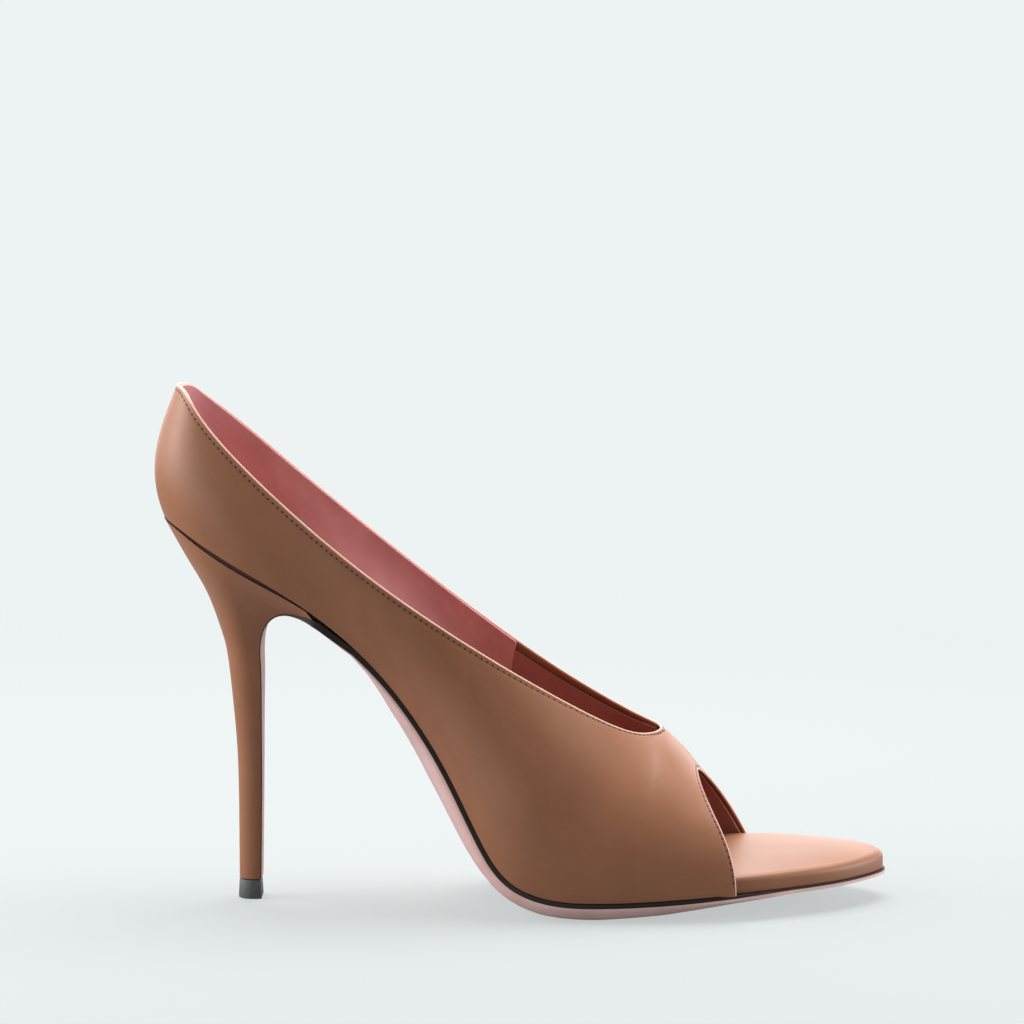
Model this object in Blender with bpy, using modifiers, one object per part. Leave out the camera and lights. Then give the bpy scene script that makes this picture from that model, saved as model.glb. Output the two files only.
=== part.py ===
"""Peep-toe stiletto pump for the right foot: upper, insole, outsole, heel and top lift.

The design frame is in millimetres: X from the heel's back to the toe, Y from the outer (lateral) side to
the inner (medial) side, Z up from the floor. Meshes are in metres, and an empty moves the design frame so
that the middle of the shoe's length and width stands at the origin.
"""
from collections import namedtuple

import bmesh
import bpy
import numpy as np

MM = 0.001

# Driving dimensions, in millimetres
LENGTH = 212.0          # heel's back to the toe's tip, along the floor
BALL_WIDTH = 76.0       # over the upper, at its foot
SEAT_HEIGHT = 111.8     # heel seat above the floor, at the back
BACK_HEIGHT = 39.0      # collar above the heel seat, at the back
INSTEP_HEIGHT = 50.2    # throat of the collar above the floor
TREAD_EDGE = 5.6        # upper's foot above the floor, at the ball
WALL = 1.6              # satin, stiffener and lining together
GAP = 0.3               # between pieces that meet
INSOLE_THICK = 5.2
INSOLE_ROUND = 1.7      # rounding of the insole's upper edge
SOLE_INSET = 0.15       # outsole's edge inside the upper's foot
TOE_INSET = 1.35        # outsole's edge inside the feather line at the open toe, under the bare insole
SOLE_BEVEL = 3.6        # width of the bevel under the outsole's edge
FULL_BEVEL_WIDTH = 60.0  # width of the outsole from which its bevel is full
LEAST_BEVEL = 0.15      # share of the bevel that the narrow flap keeps
FLAP_THICK = 0.8        # outsole where it runs down the heel's front
LIFT_HEIGHT = 5.6
LIFT_SPREAD = 0.3       # how much wider the top lift is at the floor
LIFT_ROUND = 0.6        # share of the top lift's depth that is rounded at the back
MIDDLE_X = 106.2        # middle of the shoe's length
MIDDLE_Y = 0.0          # middle of the shoe's width

LATERAL = -1
MEDIAL = 1

# The feather line, where the upper's outer face meets the sole, from the heel's back to the toe's tip.
# station: % of LENGTH; lateral, medial: half widths in % of BALL_WIDTH; climb: % of the rise from the
# ball to the heel seat; dome: how far the bottom bulges at its middle, mm; edge: thickness of the
# outsole's edge, mm; crown: how much thicker the outsole is at its middle, mm.
FeatherRow = namedtuple("FeatherRow", "station lateral medial climb dome edge crown")
FEATHER = (
    FeatherRow(1.3, 0.0, 0.0, 100.0, 0.0, 1.7, 0.0),
    FeatherRow(2.6, 13.8, 13.8, 99.1, 0.0, 1.7, 0.0),
    FeatherRow(6.1, 24.3, 24.1, 95.8, 0.0, 1.7, 0.0),
    FeatherRow(12.3, 30.3, 29.7, 88.5, 0.0, 1.7, 0.0),
    FeatherRow(20.3, 30.7, 28.9, 78.1, 0.0, 1.7, 0.0),
    FeatherRow(28.3, 28.9, 25.8, 65.3, 0.7, 1.6, 0.6),
    FeatherRow(34.4, 29.5, 24.5, 51.2, 2.6, 1.7, 1.5),
    FeatherRow(40.1, 33.2, 26.7, 33.4, 3.2, 1.7, 2.0),
    FeatherRow(44.6, 38.2, 32.2, 15.6, 2.5, 1.7, 2.4),
    FeatherRow(48.6, 43.2, 38.8, 4.8, 1.2, 1.7, 3.0),
    FeatherRow(52.8, 46.8, 44.1, 1.1, 0.5, 1.7, 3.6),
    FeatherRow(60.4, 50.0, 49.0, 0.0, 0.2, 1.7, 3.7),
    FeatherRow(69.3, 49.1, 50.2, 0.6, 0.1, 1.6, 3.0),
    FeatherRow(79.2, 44.7, 46.8, 1.7, 0.0, 1.4, 1.2),
    FeatherRow(87.3, 35.8, 39.2, 2.3, 0.0, 1.2, 0.5),
    FeatherRow(93.9, 24.5, 28.9, 2.6, 0.0, 1.1, 0.2),
    FeatherRow(98.6, 11.3, 17.6, 2.8, 0.0, 1.0, 0.1),
    FeatherRow(101.0, -3.2, 3.2, 2.9, 0.0, 1.0, 0.0),
)
TOE_FROM, TOE_TO = 13, 14   # feather rows between which the outsole's edge is drawn in for the open toe

# The upper's sections, from the heel's back along the collar to the throat and down the vamp's ridge.
# station: % of LENGTH; lateral, medial: half widths in % of BALL_WIDTH; lateral_rise, medial_rise: height
# in % from the throat to the collar's back; stand: the feather row where the section stands;
# lean: outward lean of the wall at its foot, degrees; slope: fall of the wall at its top edge, degrees
# from level; foot_pull, edge_pull: how long the wall keeps those directions, share of its height;
# upright: 1 where the wall leaves the sole straight up, 0 where it heads for its top edge.
WallRow = namedtuple("WallRow", "station lateral medial lateral_rise medial_rise stand "
                                "lean slope foot_pull edge_pull upright")
WALLS = (
    WallRow(3.2, 0.0, 0.0, 100.0, 100.0, 0.0, 23, 60, 0.40, 0.34, 0.0),
    WallRow(4.3, 13.2, 13.2, 97.0, 98.2, 1.0, 22, 66, 0.40, 0.34, 0.0),
    WallRow(6.7, 21.1, 21.1, 91.0, 94.4, 2.0, 20, 72, 0.38, 0.34, 0.0),
    WallRow(11.3, 27.0, 27.0, 80.9, 86.5, 3.0, 18, 78, 0.36, 0.34, 0.0),
    WallRow(19.8, 32.2, 32.2, 64.2, 71.2, 4.2, 18, 83, 0.36, 0.34, 0.0),
    WallRow(31.1, 35.9, 35.9, 45.1, 51.4, 5.5, 25, 84, 0.36, 0.34, 0.0),
    WallRow(44.3, 35.6, 35.6, 26.4, 30.0, 7.2, 26, 70, 0.36, 0.34, 0.1),
    WallRow(55.2, 31.8, 32.9, 12.6, 14.2, 9.0, 18, 49, 0.38, 0.36, 0.3),
    WallRow(63.2, 23.7, 27.0, 3.3, 4.7, 10.4, 11, 33, 0.40, 0.38, 0.5),
    WallRow(67.5, 13.2, 17.8, 0.2, 1.0, 11.2, 8, 18, 0.42, 0.42, 0.7),
    WallRow(69.5, -2.6, 2.6, 0.0, 0.0, 11.7, 7, 2, 0.44, 0.46, 0.9),
    WallRow(71.3, -2.6, 2.6, -3.5, -3.5, 12.1, 6, 0, 0.46, 0.48, 1.0),
    WallRow(73.3, -2.6, 2.6, -8.1, -8.1, 12.5, 5, 0, 0.48, 0.50, 1.0),
    WallRow(74.6, -2.6, 2.6, -12.6, -12.6, 13.0, 4, 0, 0.50, 0.50, 1.0),
)
THROAT = 10             # the row of WALLS where the collar ends
HEEL_ROUND_ROWS = 3.6   # feather rows that go round the heel's back
MEDIAL_TOE_REACH = 0.3  # feather rows by which the toe opening stands further forward on the inner side
MEDIAL_UPRIGHT = 0.22   # share of the upright column that the inner side of the vamp takes

# The side of the outsole that faces the heel, from the top lift up the heel's front, round the bend and
# over the heel's lip to the arch. x, z: mm; lateral, medial: half widths in mm; thick: mm.
TailRow = namedtuple("TailRow", "x z lateral medial thick")
TAIL = (
    TailRow(29.3, LIFT_HEIGHT + GAP, 3.9, 3.9, FLAP_THICK),
    TailRow(29.6, 24.0, 4.3, 4.3, FLAP_THICK),
    TailRow(29.8, 42.0, 5.0, 5.0, FLAP_THICK),
    TailRow(29.9, 57.0, 6.1, 6.1, FLAP_THICK),
    TailRow(29.9, 69.0, 7.9, 7.9, FLAP_THICK),
    TailRow(30.1, 77.0, 9.8, 9.8, FLAP_THICK),
    TailRow(31.3, 82.4, 11.8, 11.8, FLAP_THICK),
    TailRow(34.2, 85.8, 14.0, 14.0, FLAP_THICK),
    TailRow(38.2, 86.9, 16.3, 16.2, 0.9),
    TailRow(42.8, 85.9, 18.5, 18.0, 1.0),
    TailRow(47.4, 83.4, 20.3, 19.2, 1.2),
    TailRow(52.5, 80.3, 21.3, 19.6, 1.4),
)
LEAVE_X = 58.0          # where the outsole leaves the upper's bottom

# The outsole's edge from its upper corner to the flat under it. bevel_share: share of the bevel's width
# by which it is drawn in; crown_share: share of the crown by which it is thicker than at the edge.
SoleEdgeRow = namedtuple("SoleEdgeRow", "bevel_share crown_share")
SOLE_EDGE = (
    SoleEdgeRow(0.0, 0.0),
    SoleEdgeRow(0.3, 0.5),
    SoleEdgeRow(1.0, 0.85),
)

# The heel's sections, each in the plane through its back and its front. back_x, back_z: mm; flap: how far
# up the outsole's flap its front lies, mm; half_width, front_half: mm; round_share: share of the
# section's depth that is rounded at the back.
HeelRow = namedtuple("HeelRow", "back_x back_z flap half_width front_half round_share")
HEEL = (
    HeelRow(23.7, LIFT_HEIGHT + GAP, 0.0, 4.1, 3.8, 0.76),
    HeelRow(23.7, 24.0, 18.0, 4.5, 4.2, 0.74),
    HeelRow(23.4, 42.0, 36.0, 5.2, 4.9, 0.72),
    HeelRow(22.3, 57.0, 51.0, 6.3, 6.0, 0.70),
    HeelRow(20.1, 71.1, 64.5, 8.4, 8.1, 0.66),
    HeelRow(18.4, 78.2, 70.9, 9.9, 9.7, 0.62),
    HeelRow(16.1, 85.2, 76.4, 12.0, 11.6, 0.58),
    HeelRow(13.3, 92.3, 81.0, 14.8, 13.8, 0.52),
    HeelRow(9.2, 99.3, 87.0, 18.6, 16.8, 0.46),
    HeelRow(5.0, 106.6, 97.0, 22.4, 20.2, 0.42),
)
LIP_X = 52.5            # front end of the heel's top, under the arch

# Facets
FOOT_STEPS = 3          # columns of the upper between two rows of WALLS
WALL_STEPS = 12         # rows of the upper from foot to top
SOLE_STEPS = 3          # points of the feather line between two of its rows
TAIL_STEPS = 2          # points of the outsole's edge between two rows of TAIL
HEEL_STEPS = 2          # rings of the heel between two rows of HEEL
ACROSS_STEPS = 8        # strips across the insole, the outsole and the heel seat
RING_STEPS = 11         # points along one side of a heel section
ROUND_ANGLES = (0, 30, 60, 90)   # rings of the insole's rounded edge, degrees
SHEET_STEP = 4.0        # distance between the knots of the outsole's line along the bottom, mm
SEARCH_STEPS = 1200     # places at which a line is read to find one on it
SMALL_STEP = 0.05       # half the distance over which a line's direction is taken, mm
MERGE = 1e-6            # points closer than this become one, m
SHARP_ANGLE = 40        # edges sharper than this stay sharp, degrees
FLOOR_LIMIT = (-np.inf, -np.inf, 0.0)   # least x, y and z of the outsole and the insole

Finish = namedtuple("Finish", "name colour roughness")
SATIN = Finish("brown_satin", (0.30, 0.13, 0.065, 1.0), 0.42)
SOLE_LEATHER = Finish("pink_sole_leather", (0.76, 0.45, 0.40, 1.0), 0.45)
LIFT_RUBBER = Finish("dark_lift_rubber", (0.03, 0.032, 0.035, 1.0), 0.55)


def spline(knots, values, at):
    """Natural cubic spline through the values at the knots, read at the places in at."""
    knots = np.asarray(knots, float)
    values = np.asarray(values, float)
    at = np.asarray(at, float)
    step = np.diff(knots)
    rise = np.diff(values) / step
    count = len(knots)
    matrix = np.eye(count)
    right = np.zeros(count)
    for i in range(1, count - 1):
        matrix[i, i - 1:i + 2] = step[i - 1], 2 * (step[i - 1] + step[i]), step[i]
        right[i] = 6 * (rise[i] - rise[i - 1])
    bend = np.linalg.solve(matrix, right)
    i = np.clip(np.searchsorted(knots, at, side="right") - 1, 0, count - 2)
    left = at - knots[i]
    slope = rise[i] - step[i] * (2 * bend[i] + bend[i + 1]) / 6
    return values[i] + left * (slope + left * (bend[i] / 2 + left * (bend[i + 1] - bend[i]) / (6 * step[i])))


def closed_spline(lateral, medial, side, at):
    """Smooth closed line through the rows of both sides, read on one side at row numbers."""
    last = len(lateral) - 1
    loop = list(lateral) + list(medial[last - 1:0:-1])
    turns = loop * 3
    at = np.asarray(at, float)
    place = at if side == LATERAL else len(loop) - at
    return spline(np.arange(len(turns)), turns, place + len(loop))


def column(rows, name):
    """One named column of a table."""
    return np.array([getattr(row, name) for row in rows], float)


def between(rows, steps):
    """Row numbers of a table with a number of steps from each row to the next."""
    return np.linspace(0, len(rows) - 1, (len(rows) - 1) * steps + 1)


class Sheet:
    """A sheet bent along a line in the side view and straight across."""

    def __init__(self, line):
        """Keep the line, a row of (x, z) for each knot, with the length along it."""
        self.line = np.asarray(line, float)
        steps = np.linalg.norm(np.diff(self.line, axis=0), axis=1)
        self.knots = np.concatenate([[0.0], np.cumsum(steps)])
        self.length = self.knots[-1]

    def point(self, along):
        """The line's x and z at a length along it."""
        x = spline(self.knots, self.line[:, 0], along)
        z = spline(self.knots, self.line[:, 1], along)
        return np.stack([x, z], axis=-1)

    def along(self, x):
        """Length along the line at which it reaches x, where x grows along the line."""
        fine = np.linspace(0.0, self.length, SEARCH_STEPS)
        return np.interp(x, self.point(fine)[:, 0], fine)

    def normal(self, along):
        """The line's upward normal, x and z."""
        run = self.point(np.asarray(along) + SMALL_STEP) - self.point(np.asarray(along) - SMALL_STEP)
        run /= np.linalg.norm(run, axis=-1, keepdims=True)
        return np.stack([-run[..., 1], run[..., 0]], axis=-1)

    def place(self, along, across, height):
        """Points of the shoe at a length along, a distance across and a height off the sheet."""
        along, across, height = np.broadcast_arrays(along, across, height)
        spot = self.point(along) + self.normal(along) * height[..., None]
        return np.stack([spot[..., 0], across, spot[..., 1]], axis=-1)


STATIONS = column(FEATHER, "station") * LENGTH / 100
HEIGHTS = TREAD_EDGE + column(FEATHER, "climb") * (SEAT_HEIGHT - TREAD_EDGE) / 100
BOTTOM = Sheet(np.stack([STATIONS, HEIGHTS], axis=-1))


def sole_sheet():
    """The outsole's upper face: up the heel's front and over its lip, then along the bottom to the toe."""
    start = BOTTOM.along(LEAVE_X)
    count = int((BOTTOM.length - start) / SHEET_STEP)
    bottom = BOTTOM.point(np.linspace(start, BOTTOM.length, count))
    tail = np.stack([column(TAIL, "x"), column(TAIL, "z")], axis=-1)
    return Sheet(np.concatenate([tail, bottom]))


SOLE = sole_sheet()


def feather_x(at):
    """Distance from the heel's back at feather row numbers."""
    return closed_spline(STATIONS, STATIONS, LATERAL, at)


def feather_y(side, at):
    """Distance from the middle line to the feather line on one side, signed."""
    lateral = -column(FEATHER, "lateral") * BALL_WIDTH / 100
    medial = column(FEATHER, "medial") * BALL_WIDTH / 100
    return closed_spline(lateral, medial, side, at)


def feather_row(x):
    """Feather row number at a distance from the heel's back."""
    fine = np.linspace(0, len(FEATHER) - 1, SEARCH_STEPS)
    return np.interp(x, feather_x(fine), fine)


def dome(x):
    """How far the bottom bulges below the feather line at its middle."""
    return np.interp(x, STATIONS, column(FEATHER, "dome"))


def crown(x):
    """How much thicker the outsole is at its middle than at its edge."""
    return np.interp(x, STATIONS, column(FEATHER, "crown"))


def edge_thickness(along):
    """Thickness of the outsole's edge at a length along it: first the flap, then the bottom."""
    flap = np.interp(along, SOLE.knots[:len(TAIL)], column(TAIL, "thick"))
    bottom = np.interp(SOLE.point(along)[:, 0], STATIONS, column(FEATHER, "edge"))
    return np.where(along < SOLE.knots[len(TAIL)], flap, bottom)


def edge_line(side, rows):
    """The feather line of one side, flattened: length along the bottom and distance across."""
    return np.stack([BOTTOM.along(feather_x(rows)), feather_y(side, rows)], axis=-1)


def inset(loop, depth):
    """A closed flat loop, drawn in by a depth that may differ from point to point."""
    run = np.roll(loop, -1, axis=0) - np.roll(loop, 1, axis=0)
    run /= np.linalg.norm(run, axis=1, keepdims=True)
    inward = np.stack([-run[:, 1], run[:, 0]], axis=-1)
    return loop + inward * np.reshape(depth, (-1, 1))


class Solid:
    """Points and faces of one mesh, gathered ring by ring."""

    def __init__(self):
        """Start with nothing."""
        self.points = []
        self.faces = []

    def add(self, points):
        """Take in points, in mm, and return their numbers as an array of the same shape."""
        points = np.asarray(points, float)
        first = len(self.points)
        self.points.extend(points.reshape(-1, 3).tolist())
        return np.arange(first, len(self.points)).reshape(points.shape[:-1])

    def grid(self, numbers):
        """Faces between neighbouring rows of a grid of point numbers."""
        for here, after in zip(numbers[:-1], numbers[1:]):
            for i in range(len(here) - 1):
                self.faces.append((here[i], here[i + 1], after[i + 1], after[i]))

    def loft(self, rings):
        """Faces between closed rings, one after the other."""
        self.grid([np.append(ring, ring[0]) for ring in rings])

    def fan(self, tip, row):
        """Faces from one point to a row of points."""
        for one, two in zip(row[:-1], row[1:]):
            self.faces.append((tip, one, two))

    def make(self, name, finish, collection, root, closed=True):
        """Turn the points and faces into an object with a finish, under the root."""
        mesh = bpy.data.meshes.new(name)
        mesh.from_pydata([[MM * value for value in point] for point in self.points], [], self.faces)
        work = bmesh.new()
        work.from_mesh(mesh)
        bmesh.ops.remove_doubles(work, verts=work.verts, dist=MERGE)
        if closed:
            bmesh.ops.recalc_face_normals(work, faces=work.faces)
        work.to_mesh(mesh)
        work.free()
        mesh.shade_smooth()
        mesh.set_sharp_from_angle(angle=np.radians(SHARP_ANGLE))
        mesh.materials.append(material(finish))
        made = bpy.data.objects.new(name, mesh)
        made.parent = root
        collection.objects.link(made)
        return made


def material(finish):
    """Principled material of a finish, made once."""
    made = bpy.data.materials.get(finish.name)
    if made is None:
        made = bpy.data.materials.new(finish.name)
        made.use_nodes = True
        shader = made.node_tree.nodes["Principled BSDF"]
        shader.inputs["Base Color"].default_value = finish.colour
        shader.inputs["Roughness"].default_value = finish.roughness
        shader.inputs["Metallic"].default_value = 0.0
    return made


def collar_height(rise):
    """Height above the floor of a rise in the table of walls."""
    top = SEAT_HEIGHT + BACK_HEIGHT
    return INSTEP_HEIGHT + rise * (top - INSTEP_HEIGHT) / 100


def rail(lateral, medial, side, rows):
    """A column of the closed collar up to the throat, then of the ridge."""
    collar = closed_spline(lateral[:THROAT + 1], medial[:THROAT + 1], side, np.minimum(rows, THROAT))
    own = lateral if side == LATERAL else medial
    ridge = spline(np.arange(THROAT, len(WALLS)), own[THROAT:], np.maximum(rows, THROAT))
    return np.where(rows <= THROAT, collar, ridge)


def top_edge(side, rows):
    """The collar of one side, then the ridge of the vamp, at row numbers of the table of walls."""
    station = column(WALLS, "station") * LENGTH / 100
    lateral = -column(WALLS, "lateral") * BALL_WIDTH / 100
    medial = column(WALLS, "medial") * BALL_WIDTH / 100
    lateral_z = collar_height(column(WALLS, "lateral_rise"))
    medial_z = collar_height(column(WALLS, "medial_rise"))
    x = rail(station, station, side, rows)
    y = rail(lateral, medial, side, rows)
    z = rail(lateral_z, medial_z, side, rows)
    return np.stack([x, y, z], axis=-1)


def wall_column(name, rows):
    """A column of the table of walls at row numbers, one under the other."""
    return spline(np.arange(len(WALLS)), column(WALLS, name), rows)[:, None]


def stand(side, rows):
    """Feather row where the wall of each section stands."""
    reach = MEDIAL_TOE_REACH if side == MEDIAL else 0.0
    ahead = np.clip((rows - THROAT) / (len(WALLS) - 1 - THROAT), 0.0, 1.0)
    return wall_column("stand", rows)[:, 0] + reach * ahead ** 2


def outward(side, foot_rows):
    """Level direction out of the wall: backwards at the heel's back, sideways past the heel's round."""
    quarter = np.pi / 2
    turn = quarter * np.sin(quarter * np.clip(foot_rows / HEEL_ROUND_ROWS, 0, 1))
    return np.stack([-np.cos(turn), side * np.sin(turn), np.zeros_like(turn)], axis=-1)


def unit(vectors):
    """Vectors of length one."""
    return vectors / np.linalg.norm(vectors, axis=1, keepdims=True)


def wall(side, rows, rises):
    """The upper's outer face on one side.

    Each section is a cubic curve from the feather line to the top edge. It leaves the foot with the row's
    lean and comes to the top edge with the row's slope.
    """
    foot_rows = stand(side, rows)
    flat = edge_line(side, foot_rows)
    foot = BOTTOM.place(flat[:, 0], flat[:, 1], 0.0)
    top = top_edge(side, rows)
    out = outward(side, foot_rows)
    reach = top - foot
    height = np.linalg.norm(reach, axis=1, keepdims=True)
    rise = unit(reach - out * np.sum(reach * out, axis=1, keepdims=True))
    share = wall_column("upright", rows) * (MEDIAL_UPRIGHT if side == MEDIAL else 1.0)
    foot_rise = unit(rise * (1 - share) + np.array([0.0, 0.0, 1.0]) * share)
    lean = np.radians(wall_column("lean", rows))
    slope = np.radians(wall_column("slope", rows))
    leave = np.sin(lean) * out + np.cos(lean) * foot_rise
    arrive = np.cos(slope) * out - np.sin(slope) * rise
    low = foot + height * wall_column("foot_pull", rows) * leave
    high = top + height * wall_column("edge_pull", rows) * arrive
    v = np.asarray(rises, float)[None, :, None]
    u = 1 - v
    ends = u ** 3 * foot[:, None] + v ** 3 * top[:, None]
    return ends + 3 * u * v * (u * low[:, None] + v * high[:, None])


def build_upper(collection, root):
    """Upper: one open surface from the medial toe edge round the heel to the lateral one, made a wall."""
    rows = between(WALLS, FOOT_STEPS)
    rises = np.linspace(0, 1, WALL_STEPS + 1)
    medial = wall(MEDIAL, rows[:0:-1], rises)
    lateral = wall(LATERAL, rows, rises)
    solid = Solid()
    numbers = solid.add(np.concatenate([medial, lateral]))
    solid.grid(numbers.T)
    upper = solid.make("upper", SATIN, collection, root, closed=False)
    thick = upper.modifiers.new("wall", "SOLIDIFY")
    thick.thickness = WALL * MM
    thick.offset = -1
    thick.use_even_offset = True
    thick.use_quality_normals = True


def close_across(solid, sheet, ring, loop, height, bulge):
    """Close a ring with strips from its lateral to its medial half, bulged down at the middle."""
    half = len(loop) // 2
    share = np.linspace(0, 1, ACROSS_STEPS + 1)[1:-1]
    lateral = loop[1:half, None]
    medial = loop[:half:-1, None]
    flat = lateral * (1 - share[:, None]) + medial * share[:, None]
    hump = 1 - (2 * share - 1) ** 2
    level = np.broadcast_to(height, len(loop))[1:half, None] - bulge[1:half, None] * hump
    inner = solid.add(np.maximum(sheet.place(flat[..., 0], flat[..., 1], level), FLOOR_LIMIT))
    strips = np.column_stack([ring[1:half], inner, ring[:half:-1]])
    solid.grid(strips)
    solid.fan(ring[0], strips[0])
    solid.fan(ring[half], strips[-1])


def build_insole(collection, root):
    """Insole: inside the upper's foot, bare at the open toe, with a rounded upper edge."""
    rows = between(FEATHER, SOLE_STEPS)
    line = np.concatenate([edge_line(LATERAL, rows), edge_line(MEDIAL, rows[-2:0:-1])])
    loop = inset(line, WALL + GAP)
    bulge = dome(BOTTOM.point(loop[:, 0])[:, 0])
    solid = Solid()
    rings = [solid.add(BOTTOM.place(loop[:, 0], loop[:, 1], 0.0))]
    for angle in np.radians(ROUND_ANGLES):
        drawn = inset(loop, INSOLE_ROUND * (1 - np.cos(angle)))
        height = INSOLE_THICK - INSOLE_ROUND * (1 - np.sin(angle))
        rings.append(solid.add(BOTTOM.place(drawn[:, 0], drawn[:, 1], height)))
    solid.loft(rings)
    close_across(solid, BOTTOM, rings[0], loop, 0.0, bulge)
    close_across(solid, BOTTOM, rings[-1], drawn, INSOLE_THICK, bulge)
    solid.make("insole", SATIN, collection, root)


def sole_side(side):
    """One edge of the outsole, flattened: from the flap's lower end to the point before the toe's tip."""
    tail_rows = between(TAIL, TAIL_STEPS)
    tail_along = np.interp(tail_rows, np.arange(len(TAIL)), SOLE.knots[:len(TAIL)])
    half = column(TAIL, "medial" if side == MEDIAL else "lateral")
    tail_half = spline(np.arange(len(TAIL)), half, tail_rows)
    rows = between(FEATHER, SOLE_STEPS)
    rows = rows[feather_x(rows) > LEAVE_X][:-1]
    line = edge_line(side, rows)
    line[:, 0] += SOLE.length - BOTTOM.length
    return np.concatenate([np.stack([tail_along, side * tail_half], axis=-1), line])


def build_outsole(collection, root):
    """Outsole: from the toe along the bottom, then round the bend and down the heel's front as a flap."""
    lateral = sole_side(LATERAL)
    medial = sole_side(MEDIAL)
    tip = [[SOLE.length, feather_y(LATERAL, len(FEATHER) - 1)]]
    line = np.concatenate([[[0.0, 0.0]], lateral, tip, medial[::-1]])
    x = SOLE.point(line[:, 0])[:, 0]
    toe_share = np.clip((x - STATIONS[TOE_FROM]) / (STATIONS[TOE_TO] - STATIONS[TOE_FROM]), 0, 1)
    loop = inset(line, SOLE_INSET + toe_share * (TOE_INSET - SOLE_INSET))
    width = np.abs(loop - loop[::-1])[:, 1]
    thick = edge_thickness(line[:, 0])
    bevel = SOLE_BEVEL * np.clip(width / FULL_BEVEL_WIDTH, LEAST_BEVEL, 1.0)
    full = crown(x)
    solid = Solid()
    rings = [solid.add(SOLE.place(loop[:, 0], loop[:, 1], -GAP))]
    for row in SOLE_EDGE:
        drawn = inset(loop, bevel * row.bevel_share)
        level = -GAP - thick - row.crown_share * full
        places = SOLE.place(drawn[:, 0], drawn[:, 1], level)
        rings.append(solid.add(np.maximum(places, FLOOR_LIMIT)))
    solid.loft(rings)
    bulge = dome(x)
    close_across(solid, SOLE, rings[0], loop, -GAP, bulge)
    close_across(solid, SOLE, rings[-1], drawn, level, bulge + (1 - SOLE_EDGE[-1].crown_share) * full)
    solid.make("outsole", SOLE_LEATHER, collection, root)


def heel_side(back, front, half_width, front_half, round_share):
    """One side of a heel section: x, half width and z from its back to its front corner."""
    share = 1 - np.cos(np.linspace(0, np.pi / 2, RING_STEPS + 1))
    bow = np.clip(share / round_share, 0, 1)
    ahead = np.clip((share - round_share) / (1 - round_share), 0, 1)
    half = half_width * np.sqrt(1 - (1 - bow) ** 2) + (front_half - half_width) * ahead ** 2
    line = back + share[:, None] * (front - back)
    return np.stack([line[:, 0], half, line[:, 1]], axis=-1)


def heel_ring(lateral, medial):
    """A closed ring: lateral side, front edge, medial side back."""
    share = np.linspace(0, 1, ACROSS_STEPS + 1)[1:-1, None]
    front = lateral[-1] * (1 - share) + medial[-1] * share
    return np.concatenate([lateral, front, medial[:0:-1]])


def mirrored(side):
    """Both sides of a heel section that is even about the middle."""
    return side * (1, -1, 1), side


def build_heel(collection, root):
    """Heel: from the top lift up to the seat under the upper, its front against the outsole's flap."""
    solid = Solid()
    rings = []
    for row in between(HEEL, HEEL_STEPS):
        value = {name: spline(np.arange(len(HEEL)), column(HEEL, name), row) for name in HeelRow._fields}
        back = np.array([value["back_x"], value["back_z"]])
        front = SOLE.place(value["flap"], 0.0, GAP)[[0, 2]]
        side = heel_side(back, front, value["half_width"], value["front_half"], value["round_share"])
        rings.append(solid.add(heel_ring(*mirrored(side))))
    share = 1 - np.cos(np.linspace(0, np.pi / 2, RING_STEPS + 1))
    x = STATIONS[0] + share * (LIP_X - STATIONS[0])
    rows = feather_row(x)
    seat_lateral = edge_line(LATERAL, rows)
    seat_medial = edge_line(MEDIAL, rows)
    share = np.linspace(0, 1, ACROSS_STEPS + 1)[:, None]
    flat = seat_lateral[:, None] * (1 - share) + seat_medial[:, None] * share
    hump = 1 - (2 * share[:, 0] - 1) ** 2
    seat = solid.add(BOTTOM.place(flat[..., 0], flat[..., 1], -GAP - dome(x)[:, None] * hump))
    rings.append(np.concatenate([seat[:, 0], seat[-1, 1:-1], seat[:0:-1, -1]]))
    solid.loft(rings)
    solid.grid(seat)
    solid.faces.append(tuple(rings[0]))
    solid.make("heel", SATIN, collection, root)


def build_top_lift(collection, root):
    """Top lift: the wearing piece under the heel and the flap's lower end."""
    solid = Solid()
    rings = []
    for height, spread in ((0.0, LIFT_SPREAD), (LIFT_HEIGHT, 0.0)):
        back = np.array([HEEL[0].back_x - spread, height])
        front = np.array([TAIL[0].x + FLAP_THICK + spread, height])
        side = heel_side(back, front, HEEL[0].half_width + spread, TAIL[0].lateral + spread, LIFT_ROUND)
        rings.append(solid.add(heel_ring(*mirrored(side))))
    solid.loft(rings)
    for ring in rings:
        solid.faces.append(tuple(ring))
    solid.make("top_lift", LIFT_RUBBER, collection, root)


def main():
    """Build every piece."""
    for old in list(bpy.data.objects):
        bpy.data.objects.remove(old)
    collection = bpy.data.collections.new("peep_toe_pump")
    bpy.context.scene.collection.children.link(collection)
    root = bpy.data.objects.new("shoe", None)
    root.location = (-MIDDLE_X * MM, -MIDDLE_Y * MM, 0.0)
    collection.objects.link(root)
    build_upper(collection, root)
    build_insole(collection, root)
    build_outsole(collection, root)
    build_heel(collection, root)
    build_top_lift(collection, root)


main()
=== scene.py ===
"""Looks of a peep-toe stiletto pump for the right foot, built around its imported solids.

Shapes are worked out in design millimetres: X from the heel's back to the toe, Y from the outer (lateral)
side to the inner (medial) side, Z up from the floor. The tables are the part's own, moved by a millimetre
or two where the photograph asks for it. The satin's folded edges, the linings, the stitches, the groove over
the heel and the sole's painted edge are added.
"""

import logging
import math
from dataclasses import dataclass, field
from enum import Enum
from typing import NamedTuple

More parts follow.
